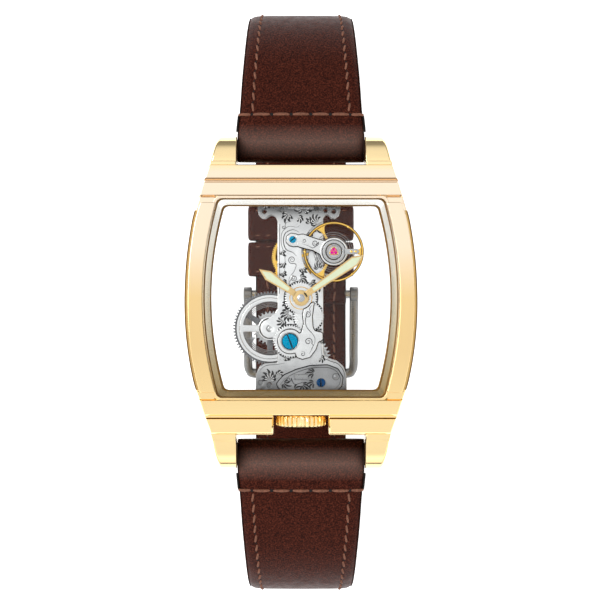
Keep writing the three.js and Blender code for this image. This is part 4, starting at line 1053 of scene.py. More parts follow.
def make_main_plate():
    floor = prism(rounded(PLATE_OUTLINE, 0.3), BASE, BASE + 0.8,
                  [circle(s, 0.36, 20) for s in FLANGE_HOLES + BASE_HOLES], 0.05)
    lobe = prism(circle(BALANCE, 1.75, 48), BASE, BASE + 0.8, bevel=0.05)
    barrel = prism(circle(BARREL, 1.6, 40), BASE, BASE + 0.8, [circle(BARREL, 0.85, 32)], 0.05)
    arm = raised([(-4.93, -5.7), (-3.5, -5.7), (-3.5, -2.5), (-4.93, -2.5)], 0.02, 0.78,
                bevel=0.03)
    top = raised(rounded([(-3.6, 13.4), (3.4, 13.4), (3.4, 16.05), (-3.6, 16.05)], 0.2), 0.7,
                2.79, bevel=0.05)
    base = [(6.9, -10.7), (6.9, -15.1), (1.75, -15.1), (1.75, -9.95), (2.6, -9.9), (5.4, -9.7)]
    other = [(-6.9, -11.4), (-2.6, -10.6), (-1.75, -10.5), (-1.75, -15.1), (-6.9, -15.1)]
    blocks = [raised(rounded(b, 0.2), 0.7, 2.79, bevel=0.05) for b in (base, other)]
    post = turned([(0.01, -0.6), (0.5, -0.6), (0.6, -0.5), (0.6, 0.1),
                  (0.01, 0.1)], CROWN_WHEEL, 32)
    piece("main_plate_engraved", [floor, lobe, barrel, arm, top, *blocks, post], PLATE, "case",
          ["main_plate"])


def make_bridge():
    bite = arc(BALANCE, 5.1, -109.2, -250.8, 40)
    first = PLATE_OUTLINE[1:-1]
    outline = [*first, (3.5, 13.3), *reversed(bite), (3.5, -7.6)]
    holes = [circle(s, 0.36, 20) for s in FLANGE_HOLES + BASE_HOLES]
    holes += [circle(THIRD, 0.27, 16), circle(HANDS, 0.62, 24)]
    deck = raised(rounded(outline, 0.25), 2.8, 3.5, holes, 0.11)
    lobe = raised(circle(BARREL, 1.5, 48), 2.8, 3.5, [circle(BARREL, 0.5, 24)], 0.11)
    link = raised(rounded([(-4.5, -5.6), (-3.4, -5.9), (-3.4, -1.2), (-4.1, -1.7), (-5.3, -2.7)],
                         0.2), 2.81, 3.49, bevel=0.05)
    window = [(-0.5, 8.3), (-0.6, 6.2), (0.4, 3.6), (1.0, 3.1), (1.7, 4.6), (1.75, 5.6), (1.2, 6.6),
              (1.3, 7.8), (2.0, 8.6), (1.4, 9.6), (0.3, 9.6)]
    recess = arc(BALANCE, 5.3, -108, -252, 40)
    recess = raised(recess, 1.8, 2.2, [rounded(window, 0.25)], 0.04)
    wall = raised(arc(BALANCE, 5.1, 110, 250, 48) + arc(BALANCE, 5.36, 250, 110, 48), 1.8,
                 3.47, bevel=0.03)
    piece("train_bridge_engraved", [deck, lobe, link, recess, wall], PLATE, "case",
          ["train_bridge"])
    # Painted shadow: dark discs under the barrel lobe and beneath the hour, minute and setting wheels.
    dark = [raised(swollen(circle(BARREL, 1.5, 48), 0.16), 2.77, 2.795, bevel=0.004)]
    for spot, r, top in ((HANDS, 2.75, 3.512), (MINUTE, 2.52, 3.514), (SETTING, 2.75, 3.516)):
        recess = kept_between(circle(spot, r, 72), -3.58, 3.38)
        dark.append(raised(recess, 3.502, top, bevel=0.004))
    shadow_sheet("wheel_recess_painted_shadow", dark)

    z = 3.505
    vines = [
        scroll((-1.42, 6.75), 0.62, z, -60, 1.9, 1, 0.12,
               [(-0.75, 5.9), (-1.1, 4.9), (-1.9, 3.6), (-1.5, 1.9)]),
        scroll((-1.08, 3.85), 0.48, z, 200, 1.7, -1, 0.11, [(-1.9, 2.9), (-1.1, 1.9)]),
        scroll((-2.75, 11.9), 0.3, z, 40, 1.4, 1, 0.1, [(-2.3, 12.6), (-1.4, 12.9)]),
        stroke(smooth([(-0.3, 11.1), (-1.3, 11.5), (-2.5, 10.9), (-2.75, 9.6), (-2.35, 8.4),
                       (-1.3, 7.9), (-0.7, 7.3)], 6), 0.15, z),
        stroke(smooth([(-3.35, 12.4), (-3.4, 8.6), (-3.42, 4.2), (-3.4, 1.4)], 6), 0.09, z, False),
        stroke(smooth([(-0.1, 12.2), (-0.7, 11.9), (-2.0, 12.0), (-3.0, 11.0), (-3.1, 9.3), (-2.6, 7.6),
                       (-2.5, 5.8), (-2.7, 3.8), (-2.3, 1.9)], 6), 0.09, z),
        stroke(smooth([(-6.7, -10.95), (-5.6, -10.0), (-3.9, -9.8), (-2.6, -9.6)], 6), 0.1, z),
        stroke(smooth([(3.15, -6.4), (3.4, -8.5), (4.5, -9.2), (5.9, -9.75), (6.85, -11.2),
                       (6.95, -14.0)], 8), 0.13, z)]
    engraved("bridge_vines", vines, LINE)
    cuts, petals = [], []
    for root, angle, count, spread, length in (
            ((-1.9, 14.1), -121, 5, 120, 1.4), ((-0.6, 13.6), -40, 4, 80, 1.1),
            ((0.2, 14.8), 180, 4, 110, 1.2), ((0.5, 14.7), 1, 4, 110, 1.2),
            ((2.7, 12.5), 140, 6, 120, 1.5), ((1.5, 12.3), 101, 4, 100, 1.1),
            ((-3.1, 8.3), -61, 3, 70, 1.0), ((-2.9, 6.4), -90, 4, 100, 0.9),
            ((-3.0, 4.9), -61, 4, 100, 0.9), ((-3.1, 3.5), -50, 4, 90, 1.1),
            ((0.2, 5.6), -71, 4, 90, 1.1), ((-0.3, 3.9), -20, 5, 120, 1.2),
            ((1.4, 3.4), -41, 4, 90, 1.2), ((2.5, 2.7), -60, 3, 70, 0.9),
            ((-1.7, -1.7), 201, 7, 150, 1.5), ((-2.7, -2.6), 230, 5, 110, 1.2),
            ((-1.9, -0.4), 165, 4, 90, 1.0),
            ((2.9, -6.6), 81, 5, 110, 1.2), ((2.9, -4.8), 100, 3, 70, 0.9),
            ((-2.7, -8.5), -21, 4, 90, 1.1), ((2.9, -8.6), -40, 4, 90, 1.0),
            ((-5.0, -12.3), 91, 7, 170, 1.5), ((-3.6, -11.6), 60, 4, 100, 0.9),
            ((-5.9, 15.4), -21, 3, 80, 0.9), ((4.3, 15.6), 190, 3, 80, 0.9)):
        # Each leaf: a wide dark cut of painted shade under a narrower light petal of painted highlight.
        cuts += fan(root, angle, count, spread, length, z, 62, 0.42)
        petals += fan(root, angle - 6, count, spread, 0.86 * length, z + 0.004, 62, 0.24)
    low = []
    for root, angle, count, spread, length in (
            ((1.4, 11.4), -110, 5, 110, 1.4), ((2.6, 8.7), -101, 4, 90, 1.1),
            ((2.9, 5.2), 110, 5, 110, 1.3), ((2.4, 12.0), -61, 3, 80, 1.1)):
        low += fan(root, angle, count, spread, length, 2.205)
    engraved("bridge_engraving", cuts + low, ENGRAVING)
    engraved("bridge_petals", petals, PETAL)

    ring = [(0.3, 2.19), (0.3, 2.26), (0.24, 2.28), (0.15, 2.26), (0.15, 2.19)]
    jewels = [lathe([(r, BASE + h) for r, h in ring], PALLET, 24, True)]
    for spot, size in ((BARREL, 1.0), (THIRD, 0.9)):
        jewels.append(turned([(0.36 * size, 3.49), (0.36 * size, 3.56),
                             (0.28 * size, 3.58), (0.2 * size, 3.54),
                             (0.01, 3.54)], spot, 32))
    piece("pivot_bushes", jewels, STEEL, "case", even=False)


def make_cock():
    foot = [(-0.5, 8.9), (0.2, 8.6), (0.15, 10.3), (-0.7, 10.75), (-1.6, 10.9), (-2.25, 10.4),
            (-2.3, 9.5), (-1.8, 9.0), (-1.2, 8.85)]
    arm = [(-0.6, 8.9), (0.8, 8.5), (1.9, 8.25), (3.4, 7.4), (4.2, 9.6), (2.8, 9.9), (1.4, 10.35),
           (0.4, 10.75), (-0.8, 10.6)]
    parts = [raised(rounded(foot, 0.4, 5, 10), 3.51, 4.28, bevel=0.05),
             raised(rounded(arm, 0.4, 5, 10), 3.7, 4.3, bevel=0.06, steps=3),
             raised(circle(BALANCE, 2.2, 64), 3.7, 4.31, [circle(BALANCE, 1.3, 48)],
                   0.12, 3)]
    piece("balance_cock_plate", parts, RHODIUM, "case", ["balance_cock"])
    # Painted shadow: dark sheets under the cock's arm, foot and ring, and a dark ring on top of the
    # ring.
    dark = [raised(swollen(rounded(arm, 0.4, 5, 10), 0.13), 3.67, 3.695, bevel=0.004),
            raised(swollen(rounded(foot, 0.4, 5, 10), 0.13), 3.503, 3.52, bevel=0.004),
            raised(circle(BALANCE, 2.3, 64), 3.66, 3.693, [circle(BALANCE, 1.3, 48)],
                  0.004),
            turned([(1.78, 4.3), (1.92, 4.3), (1.92, 4.318), (1.78, 4.318)],
                  BALANCE, 64, True)]
    shadow_sheet("cock_painted_shadow", dark)
    z = 4.31
    cuts = [scroll((2.25, 9.35), 0.55, z, 20, 1.8, 1, 0.12, [(2.0, 8.6), (1.1, 8.95), (0.2, 9.3)]),
            scroll((0.5, 9.75), 0.36, z, 200, 1.4, -1, 0.1)]
    engraved("cock_engraving", cuts, LINE)


def make_jewel():
    setting = turned([(0.16, 3.8), (1.22, 3.8), (1.22, 4.32),
                     (1.14, 4.4), (1.0, 4.4), (0.94, 4.3),
                     (0.6, 4.26), (0.5, 4.3), (0.16, 4.3)], BALANCE, 56, True)
    bars = []
    for a in (25, 205):
        bars.append(tube([(*polar(BALANCE, 0.45, a), BASE + 4.38),
                          (*polar(BALANCE, 1.12, a), BASE + 4.38)], 0.09, 8, 0.7))
    piece("jewel_setting", [setting, *bars], STEEL, "case", even=False)
    ruby = turned([(0.13, 4.3), (0.52, 4.3), (0.56, 4.4), (0.42, 4.5),
                  (0.13, 4.48)], BALANCE, 32, True)
    piece("balance_ruby", [ruby], RUBY, "case", ["balance_jewel"], even=False)
    loops = []
    for a in (90, 210, 330):
        centre = polar(BALANCE, 0.42, a)
        line = [(*p, BASE + 4.5) for p in arc(centre, 0.3, a - 140, a + 140, 20)]
        loops.append(tube(line, 0.05, 8))
    piece("shock_spring", loops, GILT, "case", even=False, angle=80)


def make_stud():
    collar = raised(circle(BALANCE, 1.75, 56), 4.33, 4.5, [circle(BALANCE, 1.35, 48)],
                   0.04)
    arm = rounded([(6.75, 7.5), (7.4, 7.6), (8.9, 7.58), (9.25, 8.02), (8.9, 8.46), (7.4, 8.44),
                   (6.75, 8.55)], 0.3, 5, 10)
    arm = raised(arm, 4.33, 4.5, bevel=0.04)
    stud = turned([(0.01, 3.36), (0.13, 3.36), (0.13, 4.34),
                  (0.01, 4.34)], (8.55, 8.02), 16)
    piece("stud_carrier_arm", [collar, arm, stud], STEEL, "case", ["stud_carrier"])
    dots = [turned([(0.01, 4.49), (0.19, 4.49), (0.19, 4.54),
                   (0.12, 4.57), (0.01, 4.57)], (x, 8.02), 20) for x in (7.95, 8.62)]
    piece("stud_pins", dots, GILT, "case", even=False)
    coil = ribbon(spiral(BALANCE, 0.66, 3.3, 8, 0), 0.08, BASE + 3.36, BASE + 3.52)
    collet = turned([(0.24, 3.34), (0.64, 3.34), (0.64, 3.54),
                    (0.24, 3.54)], BALANCE, 32, True)
    piece("hairspring_coils", [coil, collet], SPRING_STEEL, "case", ["hairspring"],
          even=False)


def make_covers():
    plate = arc(HANDS, 1.8, -75, -28, 10) + [
        (2.05, 0.1), (1.95, -0.7), (1.75, -2.2), (1.85, -3.9), (2.2, -4.5), (3.4, -4.75),
        (3.4, -5.85), (2.7, -6.2), (2.3, -7.4), (1.4, -8.6), (0.2, -8.9), (-0.6, -8.6),
        (-0.9, -7.9)] + arc(SETTING, 1.9, -70, -320, 40) + [(0.1, -4.7), (0.45, -3.4), (0.3, -2.0)]
    cover = raised(rounded(plate, 0.35, 4, 12), 4.3, 4.7, [circle(SETTING, 1.3, 48)],
                  0.06, 3)
    seat = turned([(0.42, 3.51), (1.31, 3.51), (1.31, 4.45),
                  (0.42, 4.45)], SETTING, 48, True)
    foot = raised([(0.3, -8.75), (0.95, -7.6), (1.9, -7.4), (1.4, -8.5)], 3.51, 4.4,
                 bevel=0.04)
    piece("motion_cover_plate", [cover, seat, foot], RHODIUM, "case", ["motion_cover"])
    # Painted shadow: a dark rim round the motion cover and a dark ring round the setting wheel screw.
    edge = raised(swollen(rounded(plate, 0.35, 4, 12), 0.13), 4.27, 4.295,
                 [circle(SETTING, 1.3, 48)], 0.004)
    well = turned([(1.19, 4.46), (1.3, 4.46), (1.3, 4.48), (1.19, 4.48)],
                 SETTING, 48, True)
    shadow_sheet("motion_cover_painted_shadow", [edge, well])
    z = 4.705
    cuts = [scroll((1.06, -1.94), 0.5, z, 100, 1.5, 1, 0.13, [(0.7, -3.0), (1.0, -4.0), (2.0, -5.2),
                                                          (2.2, -6.2), (1.6, -7.4)]),
            scroll((1.17, -6.14), 0.62, z, -30, 1.6, -1, 0.14, [(1.9, -6.9), (1.3, -8.1)]),
            scroll((0.28, -8.1), 0.42, z, 120, 1.3, 1, 0.12),
            stroke(smooth([(1.75, -0.4), (1.35, -1.0), (1.6, -1.6)], 5), 0.1, z)]
    cuts.append(stroke(arc(SETTING, 1.42, 0, 355, 60), 0.07, z, False))
    engraved("cover_engraving", cuts, LINE)

    plate = rounded([(-3.9, -12.9), (-2.7, -11.5), (-0.7, -10.6), (1.5, -10.0), (4.2, -9.9),
                     (5.8, -10.5), (6.6, -11.8), (6.4, -13.2), (5.2, -14.3), (-2.9, -14.3)], 0.5, 4,
                    12)
    slot = [(-1.0, -12.2), (1.1, -12.2), (1.1, -11.4), (-1.0, -11.4)]
    cover = raised(plate, 3.51, 3.95, [rounded(slot, 0.15)], 0.07, 3)
    pin = turned([(0.01, 3.9), (0.3, 3.9), (0.3, 4.06), (0.24, 4.1),
                 (0.01, 4.1)], (5.5, -11.7), 28)
    piece("setting_cover_plate", [cover, pin], BRUSHED, "case", ["setting_cover"])
    # Painted shadow: a dark rim round the setting cover.
    edge = raised(swollen(plate, 0.14), 3.503, 3.52, [rounded(slot, 0.15)], 0.004)
    shadow_sheet("setting_cover_painted_shadow", [edge])
    z = 3.955
    cuts = [stroke(smooth([(-3.3, -13.0), (-2.3, -11.9), (-0.6, -11.0), (1.6, -10.35), (4.1, -10.25),
                           (5.5, -10.8), (6.2, -11.9), (6.0, -13.0), (5.0, -13.9)], 6), 0.1, z),
            stroke(arc((5.5, -11.7), 0.52, 0, 355, 30), 0.07, z, False),
            scroll((-1.9, -12.1), 0.42, z, 30, 1.5, 1, 0.13,
                   [(-1.0, -12.9), (0.4, -12.6), (1.6, -12.9)]),
            scroll((1.2, -13.5), 0.4, z, 200, 1.4, -1, 0.12, [(0.2, -13.9), (-1.1, -13.6)])]
    for root, angle, count, spread in (((-2.9, -12.6), -31, 5, 120), ((-1.2, -13.7), 10, 4, 100),
                                       ((2.2, -11.2), 171, 5, 110), ((0.1, -12.9), -40, 5, 120),
                                       ((2.2, -12.6), 201, 4, 90)):
        cuts += fan(root, angle, count, spread, 1.25, z, 62, 0.26)
    engraved("setting_cover_engraving", cuts, ENGRAVING)


def screw(name, spot, radius, low, high, angle, look, width, node):
    """A slotted screw head with a rounded rim, made from two half discs."""
    halves, z = [], (BASE + low, BASE + high)
    reach = math.degrees(math.asin(width / 2 / radius))
    for turn in (0, 180):
        outline = arc(spot, radius, angle + turn + reach, angle + turn + 180 - reach, 28)
        halves.append(prism(outline, z[0], z[1], bevel=min(0.06, radius * 0.12), steps=3))
    floor = lathe([(0.01, z[0] - 0.02), (radius * 0.97, z[0] - 0.02),
                   (radius * 0.97, z[0] + (high - low) * 0.35), (0.01, z[0] + (high - low) * 0.35)],
                  spot, 40)
    piece(name, [*halves, floor], look, "case", [node])
    # Painted shadow: a dark box in the slot, so the slot reads dark.
    across = [polar(spot, radius * 0.97, angle + turn)
              for turn in (reach, -reach, 180 + reach, 180 - reach)]
    slot = prism(across, z[0], z[0] + (high - low) * 0.75, bevel=0.004)
    piece(f"{name}_slot_painted_shadow", [slot], SHADOW, "case", even=False)


def make_screws():
    screw("cock_screw_head", COCK_SCREW, 0.55, 4.3, 4.6, 40, BLUE, 0.14, "cock_screw")
    screw("setting_wheel_screw_head", SETTING, 1.19, 4.46, 4.85, 110, BLUE, 0.17,
          "setting_wheel_screw")
    screw("setting_cover_screw_head", COVER_SCREW, 0.7, 3.96, 4.25, 90, DARK_BLUE, 0.16,
          "setting_cover_screw")


# ---- wheels ----

PHASE_CENTRE = bearing(HANDS, BARREL)
PHASE_THIRD_PINION = bearing(THIRD, HANDS)
PHASE_THIRD = bearing(THIRD, FOURTH)
PHASE_FOURTH = bearing(FOURTH, ESCAPE)
PHASE_CANNON = bearing(HANDS, MINUTE)
PHASE_MINUTE = meshed(PHASE_CANNON, 12, bearing(HANDS, MINUTE), 36)
PHASE_MINUTE_PINION = bearing(MINUTE, HANDS)
PHASE_HOUR = meshed(PHASE_MINUTE_PINION, 10, bearing(MINUTE, HANDS), 40)
PHASE_SETTING = meshed(PHASE_MINUTE, 36, bearing(MINUTE, SETTING), 39)


def gear(centre, count, pitch, phase, low, high, holes=(), bevel=0.025, tip=0.9, root=1.15):
    return raised(gear_outline(centre, count, pitch, phase, tip, root), low, high,
                 holes, bevel, 1)


def arbor(centre, *steps):
    """Stepped shaft: (radius, low, high)."""
    return [lathe([(0.01, BASE + low), (r - 0.02, BASE + low), (r, BASE + low + 0.02),
                   (r, BASE + high - 0.02), (r - 0.02, BASE + high), (0.01, BASE + high)], centre,
                  24) for r, low, high in steps]


def make_wheels():
    phase = meshed(PHASE_CENTRE, 14, bearing(HANDS, BARREL), 70)
    drum = [raised(gear_outline(BARREL, 70, 5.74, phase, 0.95, 1.1, 0.14), 2.0, 2.38,
                  [circle(BARREL, 4.95, 96)], 0.03, 1),
            raised(circle(BARREL, 5.45, 96), 0.9, 2.05, [circle(BARREL, 4.95, 96)],
                  0.04),
            raised(circle(BARREL, 5.2, 96), 0.9, 1.15,
                  [circle(BARREL, 0.85, 32), *windows(BARREL, 1.7, 4.2, 3, 0.9, 30)], 0.03)]
    piece("barrel_drum_toothed", drum, TEETH_STEEL, "barrel_group", ["barrel_drum"])
    cover = [raised(circle(BARREL, 4.88, 96), 2.2, 2.42,
                   [circle(BARREL, 0.85, 32),
                    *windows(BARREL, 1.9, 4.25, 3, 1.1, 60, 20, 0.5)], 0.1),
             turned([(4.9, 2.39), (5.3, 2.39), (5.3, 2.41),
                    (4.9, 2.43)], BARREL, 96, True)]
    piece("barrel_cover_disc", cover, RHODIUM, "barrel_group", ["barrel_cover"])
    # Painted shade: a dark ring where the groove round the barrel cover lies.
    piece("barrel_cover_groove", [tube([(*p, BASE + 2.42) for p in circle(BARREL, 5.33, 96)], 0.045,
                                       6, 0.5)], ENGRAVING, "barrel_group", even=False)
    coil = ribbon(spiral(BARREL, 3.4, 4.8, 6, 0, 48), 0.11, BASE + 1.2, BASE + 2.1)
    piece("mainspring_coils", [coil], SPRING_STEEL, "barrel_group", ["mainspring"],
          even=False)

    rim = gear(HANDS, 64, 3.15, meshed(PHASE_THIRD_PINION, 8, bearing(THIRD, HANDS), 64), 2.5, 2.65,
               windows(HANDS, 0.9, 2.7, 4, 0.45))
    pinion = gear(HANDS, 14, 1.148, PHASE_CENTRE, 1.95, 2.5)
    piece("centre_wheel_cut", [rim, pinion, *arbor(HANDS, (0.5, 0.82, 3.4), (0.38, 0.1, 5.8))],
          GILT, "centre_group", ["centre_wheel"])
    leaves = gear(HANDS, 12, 0.781, PHASE_CANNON, 3.55, 3.9, [circle(HANDS, 0.39, 24)])
    pipe = raised(circle(HANDS, 0.56, 32), 3.85, 5.45, [circle(HANDS, 0.39, 24)], 0.02)
    piece("cannon_pinion_cut", [leaves, pipe], STEEL, "centre_group", ["cannon_pinion"])

    rim = gear(MINUTE, 36, 2.344, PHASE_MINUTE, 3.6, 3.85)
    pinion = gear(MINUTE, 10, 0.625, PHASE_MINUTE_PINION, 3.8, 4.25)
    piece("minute_wheel_cut", [rim, pinion, *arbor(MINUTE, (0.28, 2.85, 3.7))], RHODIUM,
          "minute_group", ["minute_wheel"])
    rim = gear(HANDS, 40, 2.5, PHASE_HOUR, 3.95, 4.15, [circle(HANDS, 0.58, 24)])
    pipe = raised(circle(HANDS, 0.82, 40), 4.1, 4.99, [circle(HANDS, 0.58, 24)], 0.03)
    piece("hour_wheel_cut", [rim, pipe], RHODIUM, "hour_group", ["hour_wheel"])
    ring = tube([(*p, BASE + 4.18) for p in circle(HANDS, 1.75, 72) + [polar(HANDS, 1.75, 0)]],
                0.06, 8, 0.6)
    piece("hour_wheel_collar", [ring], GILT, "hour_group", even=False)
    wheel = gear(SETTING, 39, 2.539, PHASE_SETTING, 3.6, 3.85, [circle(SETTING, 0.93, 40)])
    piece("setting_wheel_cut", [wheel], RHODIUM, "setting_group", ["setting_wheel"])

    rim = gear(THIRD, 60, 2.872, PHASE_THIRD, 1.6, 1.72, windows(THIRD, 0.7, 2.4, 3, 0.4, 45))
    pinion = gear(THIRD, 8, 0.394, PHASE_THIRD_PINION, 2.35, 2.75)
    piece("third_wheel_cut", [rim, pinion, *arbor(THIRD, (0.25, 1.55, 3.3))], GILT, "third_group",
          ["third_wheel"])
    rim = gear(FOURTH, 70, 3.8, PHASE_FOURTH, 0.86, 1.02, windows(FOURTH, 0.8, 3.2, 4, 0.45, 15))
    pinion = gear(FOURTH, 8, 0.383, meshed(PHASE_THIRD, 60, bearing(THIRD, FOURTH), 8), 1.5, 1.78)
    piece("fourth_wheel_cut", [rim, pinion, *arbor(FOURTH, (0.2, 0.83, 2.9), (0.1, 0.1, 3.0))],
          GILT, "fourth_group", ["fourth_wheel"])
    rim = []
    for i in range(15):
        at = 24 * i + 6
        rim += arc(ESCAPE, 1.95, at - 13, at - 1, 4)
        rim += [polar(ESCAPE, 2.44, at + 2.5), polar(ESCAPE, 2.5, at + 6.5)]
    body = raised(rim, 1.3, 1.42, windows(ESCAPE, 0.6, 1.6, 4, 0.35), 0.015, 1)
    pinion = gear(ESCAPE, 7, 0.38, meshed(PHASE_FOURTH, 70, bearing(FOURTH, ESCAPE), 7), 0.84, 1.1)
    piece("escape_wheel_cut", [body, pinion, *arbor(ESCAPE, (0.18, 0.83, 1.76), (0.1, 0.1, 2.3))],
          STEEL, "escape_group", ["escape_wheel"])


def make_fork():
    half = [(1.7, 0.12), (2.0, 0.36), (2.42, 0.36), (2.42, 0.13), (2.15, 0.13)]
    lever = [(0, -0.22), *[(x, -y) for x, y in half], *reversed(half), (0, 0.22)]
    lever = placed(lever, PALLET, bearing(PALLET, BALANCE))
    arms = [(-0.25, 0), (0.1, -1.3), (0.3, -1.42), (0.62, -1.35), (0.5, -1.1), (0.35, 0), (0.5, 1.1),
            (0.62, 1.35), (0.3, 1.42), (0.1, 1.3)]
    arms = placed(arms, PALLET, bearing(PALLET, ESCAPE))
    piece("pallet_fork_lever", [raised(lever, 1.3, 1.42, bevel=0.02),
                                raised(arms, 1.3, 1.42, bevel=0.02),
                                *arbor(PALLET, (0.22, 1.15, 1.76), (0.1, 1.7, 2.2))], STEEL,
          "fork_group", ["pallet_fork"])


def make_balance():
    rim = turned([(4.38, 2.8), (4.43, 2.75), (4.72, 2.75), (4.77, 2.8),
                 (4.77, 3.02), (4.66, 3.2), (4.5, 3.2), (4.38, 3.02)],
                BALANCE, 128, True)
    parts = [rim]
    for turn in (0, 118, 241.5):
        shape = [(0.3, -0.42), (2.4, -0.2), (3.4, -0.2), (4.1, -0.5), (4.42, -0.95), (4.42, 0.95),
                 (4.1, 0.5), (3.4, 0.2), (2.4, 0.2), (0.3, 0.42)]
        arm = rounded(placed(shape, BALANCE, turn), 0.3, 4, 10)
        parts.append(raised(arm, 2.85, 3.1, bevel=0.04))
    parts.append(turned([(0.01, 2.8), (0.66, 2.8), (0.7, 2.84),
                        (0.7, 3.1), (0.64, 3.15), (0.01, 3.15)], BALANCE, 40))
    to_pallet = bearing(BALANCE, PALLET)
    parts += arbor(BALANCE, (0.75, 1.55, 1.7), (0.2, 0.83, 3.6), (0.1, 0.1, 4.3))
    parts += arbor(polar(BALANCE, 0.62, to_pallet), (0.09, 1.44, 1.6))
    for a in (-50, 60, 180):
        spot = polar(BALANCE, 4.57, a)
        parts.append(turned([(0.01, 3.18), (0.17, 3.18), (0.17, 3.25),
                            (0.12, 3.28), (0.01, 3.28)], spot, 16))
    piece("balance_wheel_rim", parts, GILT, "balance_group", ["balance_wheel"])
    # Painted shade: dark rings along the inner and outer edges of the balance rim.
    lines = [lathe([(a, BASE + 2.9), (a, z), (b, z), (b, BASE + 2.9)], BALANCE, 128, True)
             for a, b, z in ((4.345, 4.4, BASE + 3.1), (4.745, 4.79, BASE + 3.1))]
    piece("balance_rim_shade_lines", lines, BRONZE_SHADE_LINE, "balance_group", even=False)


def make_keyless():
    """The two winding wheels under the plate."""
    crown_phase = meshed(bearing(BARREL, CROWN_WHEEL), 26, bearing(BARREL, CROWN_WHEEL), 46)
    wheel = gear(CROWN_WHEEL, 46, 4.618, crown_phase, -0.55, -0.15,
                 [circle(CROWN_WHEEL, 0.63, 32), *windows(CROWN_WHEEL, 1.6, 3.7, 3, 0.9)], 0.05)
    piece("crown_wheel_cut", [wheel], STEEL, "crown_wheel_group", ["crown_wheel"])
    wheel = gear(BARREL, 26, 2.611, bearing(BARREL, CROWN_WHEEL), -0.55, -0.15,
                 [circle(BARREL, 0.5, 24)], 0.05)
    piece("ratchet_wheel_cut", [wheel], STEEL, "ratchet_group", ["ratchet_wheel"])


# ---- hands ----

def hand(name, length, clock, width, hub, bore, low, high, body, node):
    """A hand pointing at an angle clockwise from 12, with its inlay of luminous paint."""
    turn = 90 - clock
    blade = [(0.75, -0.47), (1.9, -0.47), (length - 1.75, -width / 2), (length, 0),
             (length - 1.75, width / 2), (1.9, 0.47), (0.75, 0.47)]
    inlay = [(2.3, -0.26), (length - 1.85, -width / 2 + 0.23), (length - 0.62, -0.03),
             (length - 0.62, 0.03), (length - 1.85, width / 2 - 0.23), (2.3, 0.26)]
    ring = raised(circle(HANDS, hub, 56), low, high, [circle(HANDS, bore, 32)], 0.05, 3)
    piece(name, [raised(placed(blade, HANDS, turn), low, high, bevel=0.05, steps=3), ring],
          HAND_GOLD, body, [node])
    paint = rounded(placed(inlay, HANDS, turn), 0.1)
    paint = prism(paint, BASE + high - 0.06, BASE + high + 0.045, bevel=0.03)
    piece(f"{name}_lume", [paint], LUME, body)


def make_hands():
    hand("minute_hand_blade", 12.0, 55.5, 1.62, 1.1, 0.58, 5.5, 5.7, "centre_group", "minute_hand")
    hand("hour_hand_blade", 8.0, 304.6, 1.62, 1.25, 0.84, 5.0, 5.2, "hour_group", "hour_hand")
    cap = turned([(0.39, 5.71), (0.6, 5.71), (0.6, 5.83), (0.47, 5.86),
                 (0.46, 5.91), (0.36, 5.95), (0.01, 5.96)], HANDS, 40)
    piece("hand_cap_polished", [cap], STEEL, "centre_group", ["hand_cap"], even=False)


# ---- carried-over CAD nodes ----

def dress_nodes():
    looks = {
        "front_crystal": (CRYSTAL, "crystal", 0.0), "back_crystal": (CRYSTAL, "crystal", 0.0),
        "front_gasket": (RUBBER, "gasket", 0.0), "back_gasket": (RUBBER, "gasket", 0.0),
        "case_back": (GOLD, "gold_case", 0.15),
        **{f"case_back_screw_{i}": (GOLD, "gold_case", 0.05) for i in range(1, 5)},
        **{n: (STEEL, "steel", 0.05) for n in (
            "crown_tube", "spring_bar_12", "spring_bar_6", "movement_clamp_12", "movement_clamp_6",
            "buckle_bar", "click", "click_spring", "winding_pinion", "clutch", "stem",
            "barrel_arbor")},
    }
    for name, (look, slot, bevel) in looks.items():
        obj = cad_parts[name]
        obj.data.materials.clear()
        obj.data.materials.append(look)
        if bevel:
            soft = obj.modifiers.new("edge", "BEVEL")
            soft.width, soft.segments, soft.limit_method = bevel * MM, 2, "ANGLE"
            soft.angle_limit = math.radians(40)


# ---- stage, light and camera ----

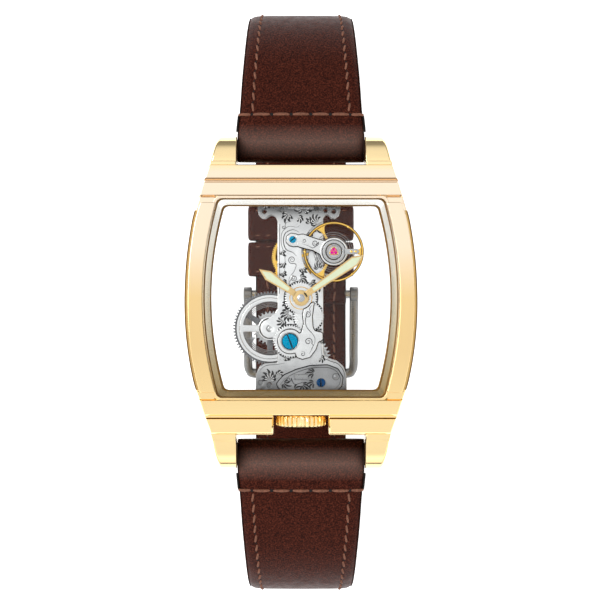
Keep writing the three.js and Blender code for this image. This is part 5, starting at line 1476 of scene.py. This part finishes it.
def make_stage():
    mesh = bpy.data.meshes.new("floor")
    mesh.from_pydata([(-3, -3, 0), (3, -3, 0), (3, 3, 0), (-3, 3, 0)], [], [(0, 1, 2, 3)])
    floor = bpy.data.objects.new("floor", mesh)
    floor.location.z = -0.0001
    bpy.context.scene.collection.objects.link(floor)
    look = Look("white_floor")
    tone = look.ramp(look.noise(3), [(0.3, (0.86, 0.86, 0.86, 1)), (0.7, (0.9, 0.9, 0.9, 1))])
    look.surface({"Base Color": tone, "Roughness": 0.8, "Emission Color": (1, 1, 1, 1),
                  "Emission Strength": 0.8})
    mesh.materials.append(look.material)

    world = bpy.data.worlds.new("studio")
    bpy.context.scene.world = world
    world.use_nodes = True
    nodes, links = world.node_tree.nodes, world.node_tree.links
    coords = nodes.new("ShaderNodeTexCoord")
    split = nodes.new("ShaderNodeSeparateXYZ")
    links.new(coords.outputs["Generated"], split.inputs["Vector"])

    def ramp(source, stops):
        node = nodes.new("ShaderNodeValToRGB")
        set_stops(node, [((place + 1) / 2, (value, value, value, 1)) for place, value in stops])
        height = nodes.new("ShaderNodeMapRange")
        height.inputs["From Min"].default_value = -1
        links.new(source, height.inputs["Value"])
        links.new(height.outputs["Result"], node.inputs["Fac"])
        return node.outputs["Color"]

    def combined(operation, a, b):
        node = nodes.new("ShaderNodeMath")
        node.operation = operation
        links.new(a, node.inputs[0])
        links.new(b, node.inputs[1])
        return node.outputs["Value"]

    # An overhead softbox, a lower strip of light from the south and sides, a dim room.
    overhead = ramp(split.outputs["Z"], [(-1, 0.5), (0, 0.4), (0.12, 0.24), (0.5, 0.3),
                                         (0.7, 0.85), (0.8, 0.97), (1, 1)])
    strip = ramp(split.outputs["Z"], [(0.1, 0), (0.32, 1.05), (0.6, 1.05), (0.8, 0)])
    south = ramp(split.outputs["Y"], [(-0.4, 1), (0.0, 0.62), (0.35, 0.06), (1, 0.02)])
    north = ramp(split.outputs["Y"], [(-0.01, 0), (0.03, 0.12), (0.3, 0.12), (0.5, 0)])
    light = combined("ADD", overhead, combined("MULTIPLY", strip, south))
    zenith = ramp(split.outputs["Z"], [(0.9, 0), (0.97, 1)])
    light = combined("ADD", light, combined("MULTIPLY", north, zenith))
    links.new(light, nodes["Background"].inputs["Strength"])
    nodes["Background"].inputs["Color"].default_value = (1, 1, 1, 1)

    lamp = bpy.data.lights.new("softbox", "AREA")
    lamp.shape, lamp.size, lamp.size_y, lamp.energy = "RECTANGLE", 0.3, 0.2, 1.1
    box = bpy.data.objects.new("softbox", lamp)
    box.location = (-0.28, 0.12, 0.42)
    aim = Vector((0, 0, 0.03)) - Vector(box.location)
    box.rotation_euler = aim.to_track_quat("-Z", "Y").to_euler()
    bpy.context.scene.collection.objects.link(box)
    bpy.context.scene.view_settings.view_transform = "Standard"


def make_camera():
    data = bpy.data.cameras.new("camera")
    data.lens, data.sensor_width = 93, 36
    data.clip_start, data.clip_end = 0.01, 20
    camera = bpy.data.objects.new("camera", data)
    camera.location = (-0.00015, 0.00039, 0.279)
    bpy.context.scene.collection.objects.link(camera)
    bpy.context.scene.camera = camera


make_case()
make_crown()
make_strap()
make_keepers()
make_buckle()
make_main_plate()
make_bridge()
make_cock()
make_jewel()
make_stud()
make_covers()
make_screws()
make_wheels()
make_fork()
make_balance()
make_keyless()
make_hands()
dress_nodes()
make_stage()
make_camera()
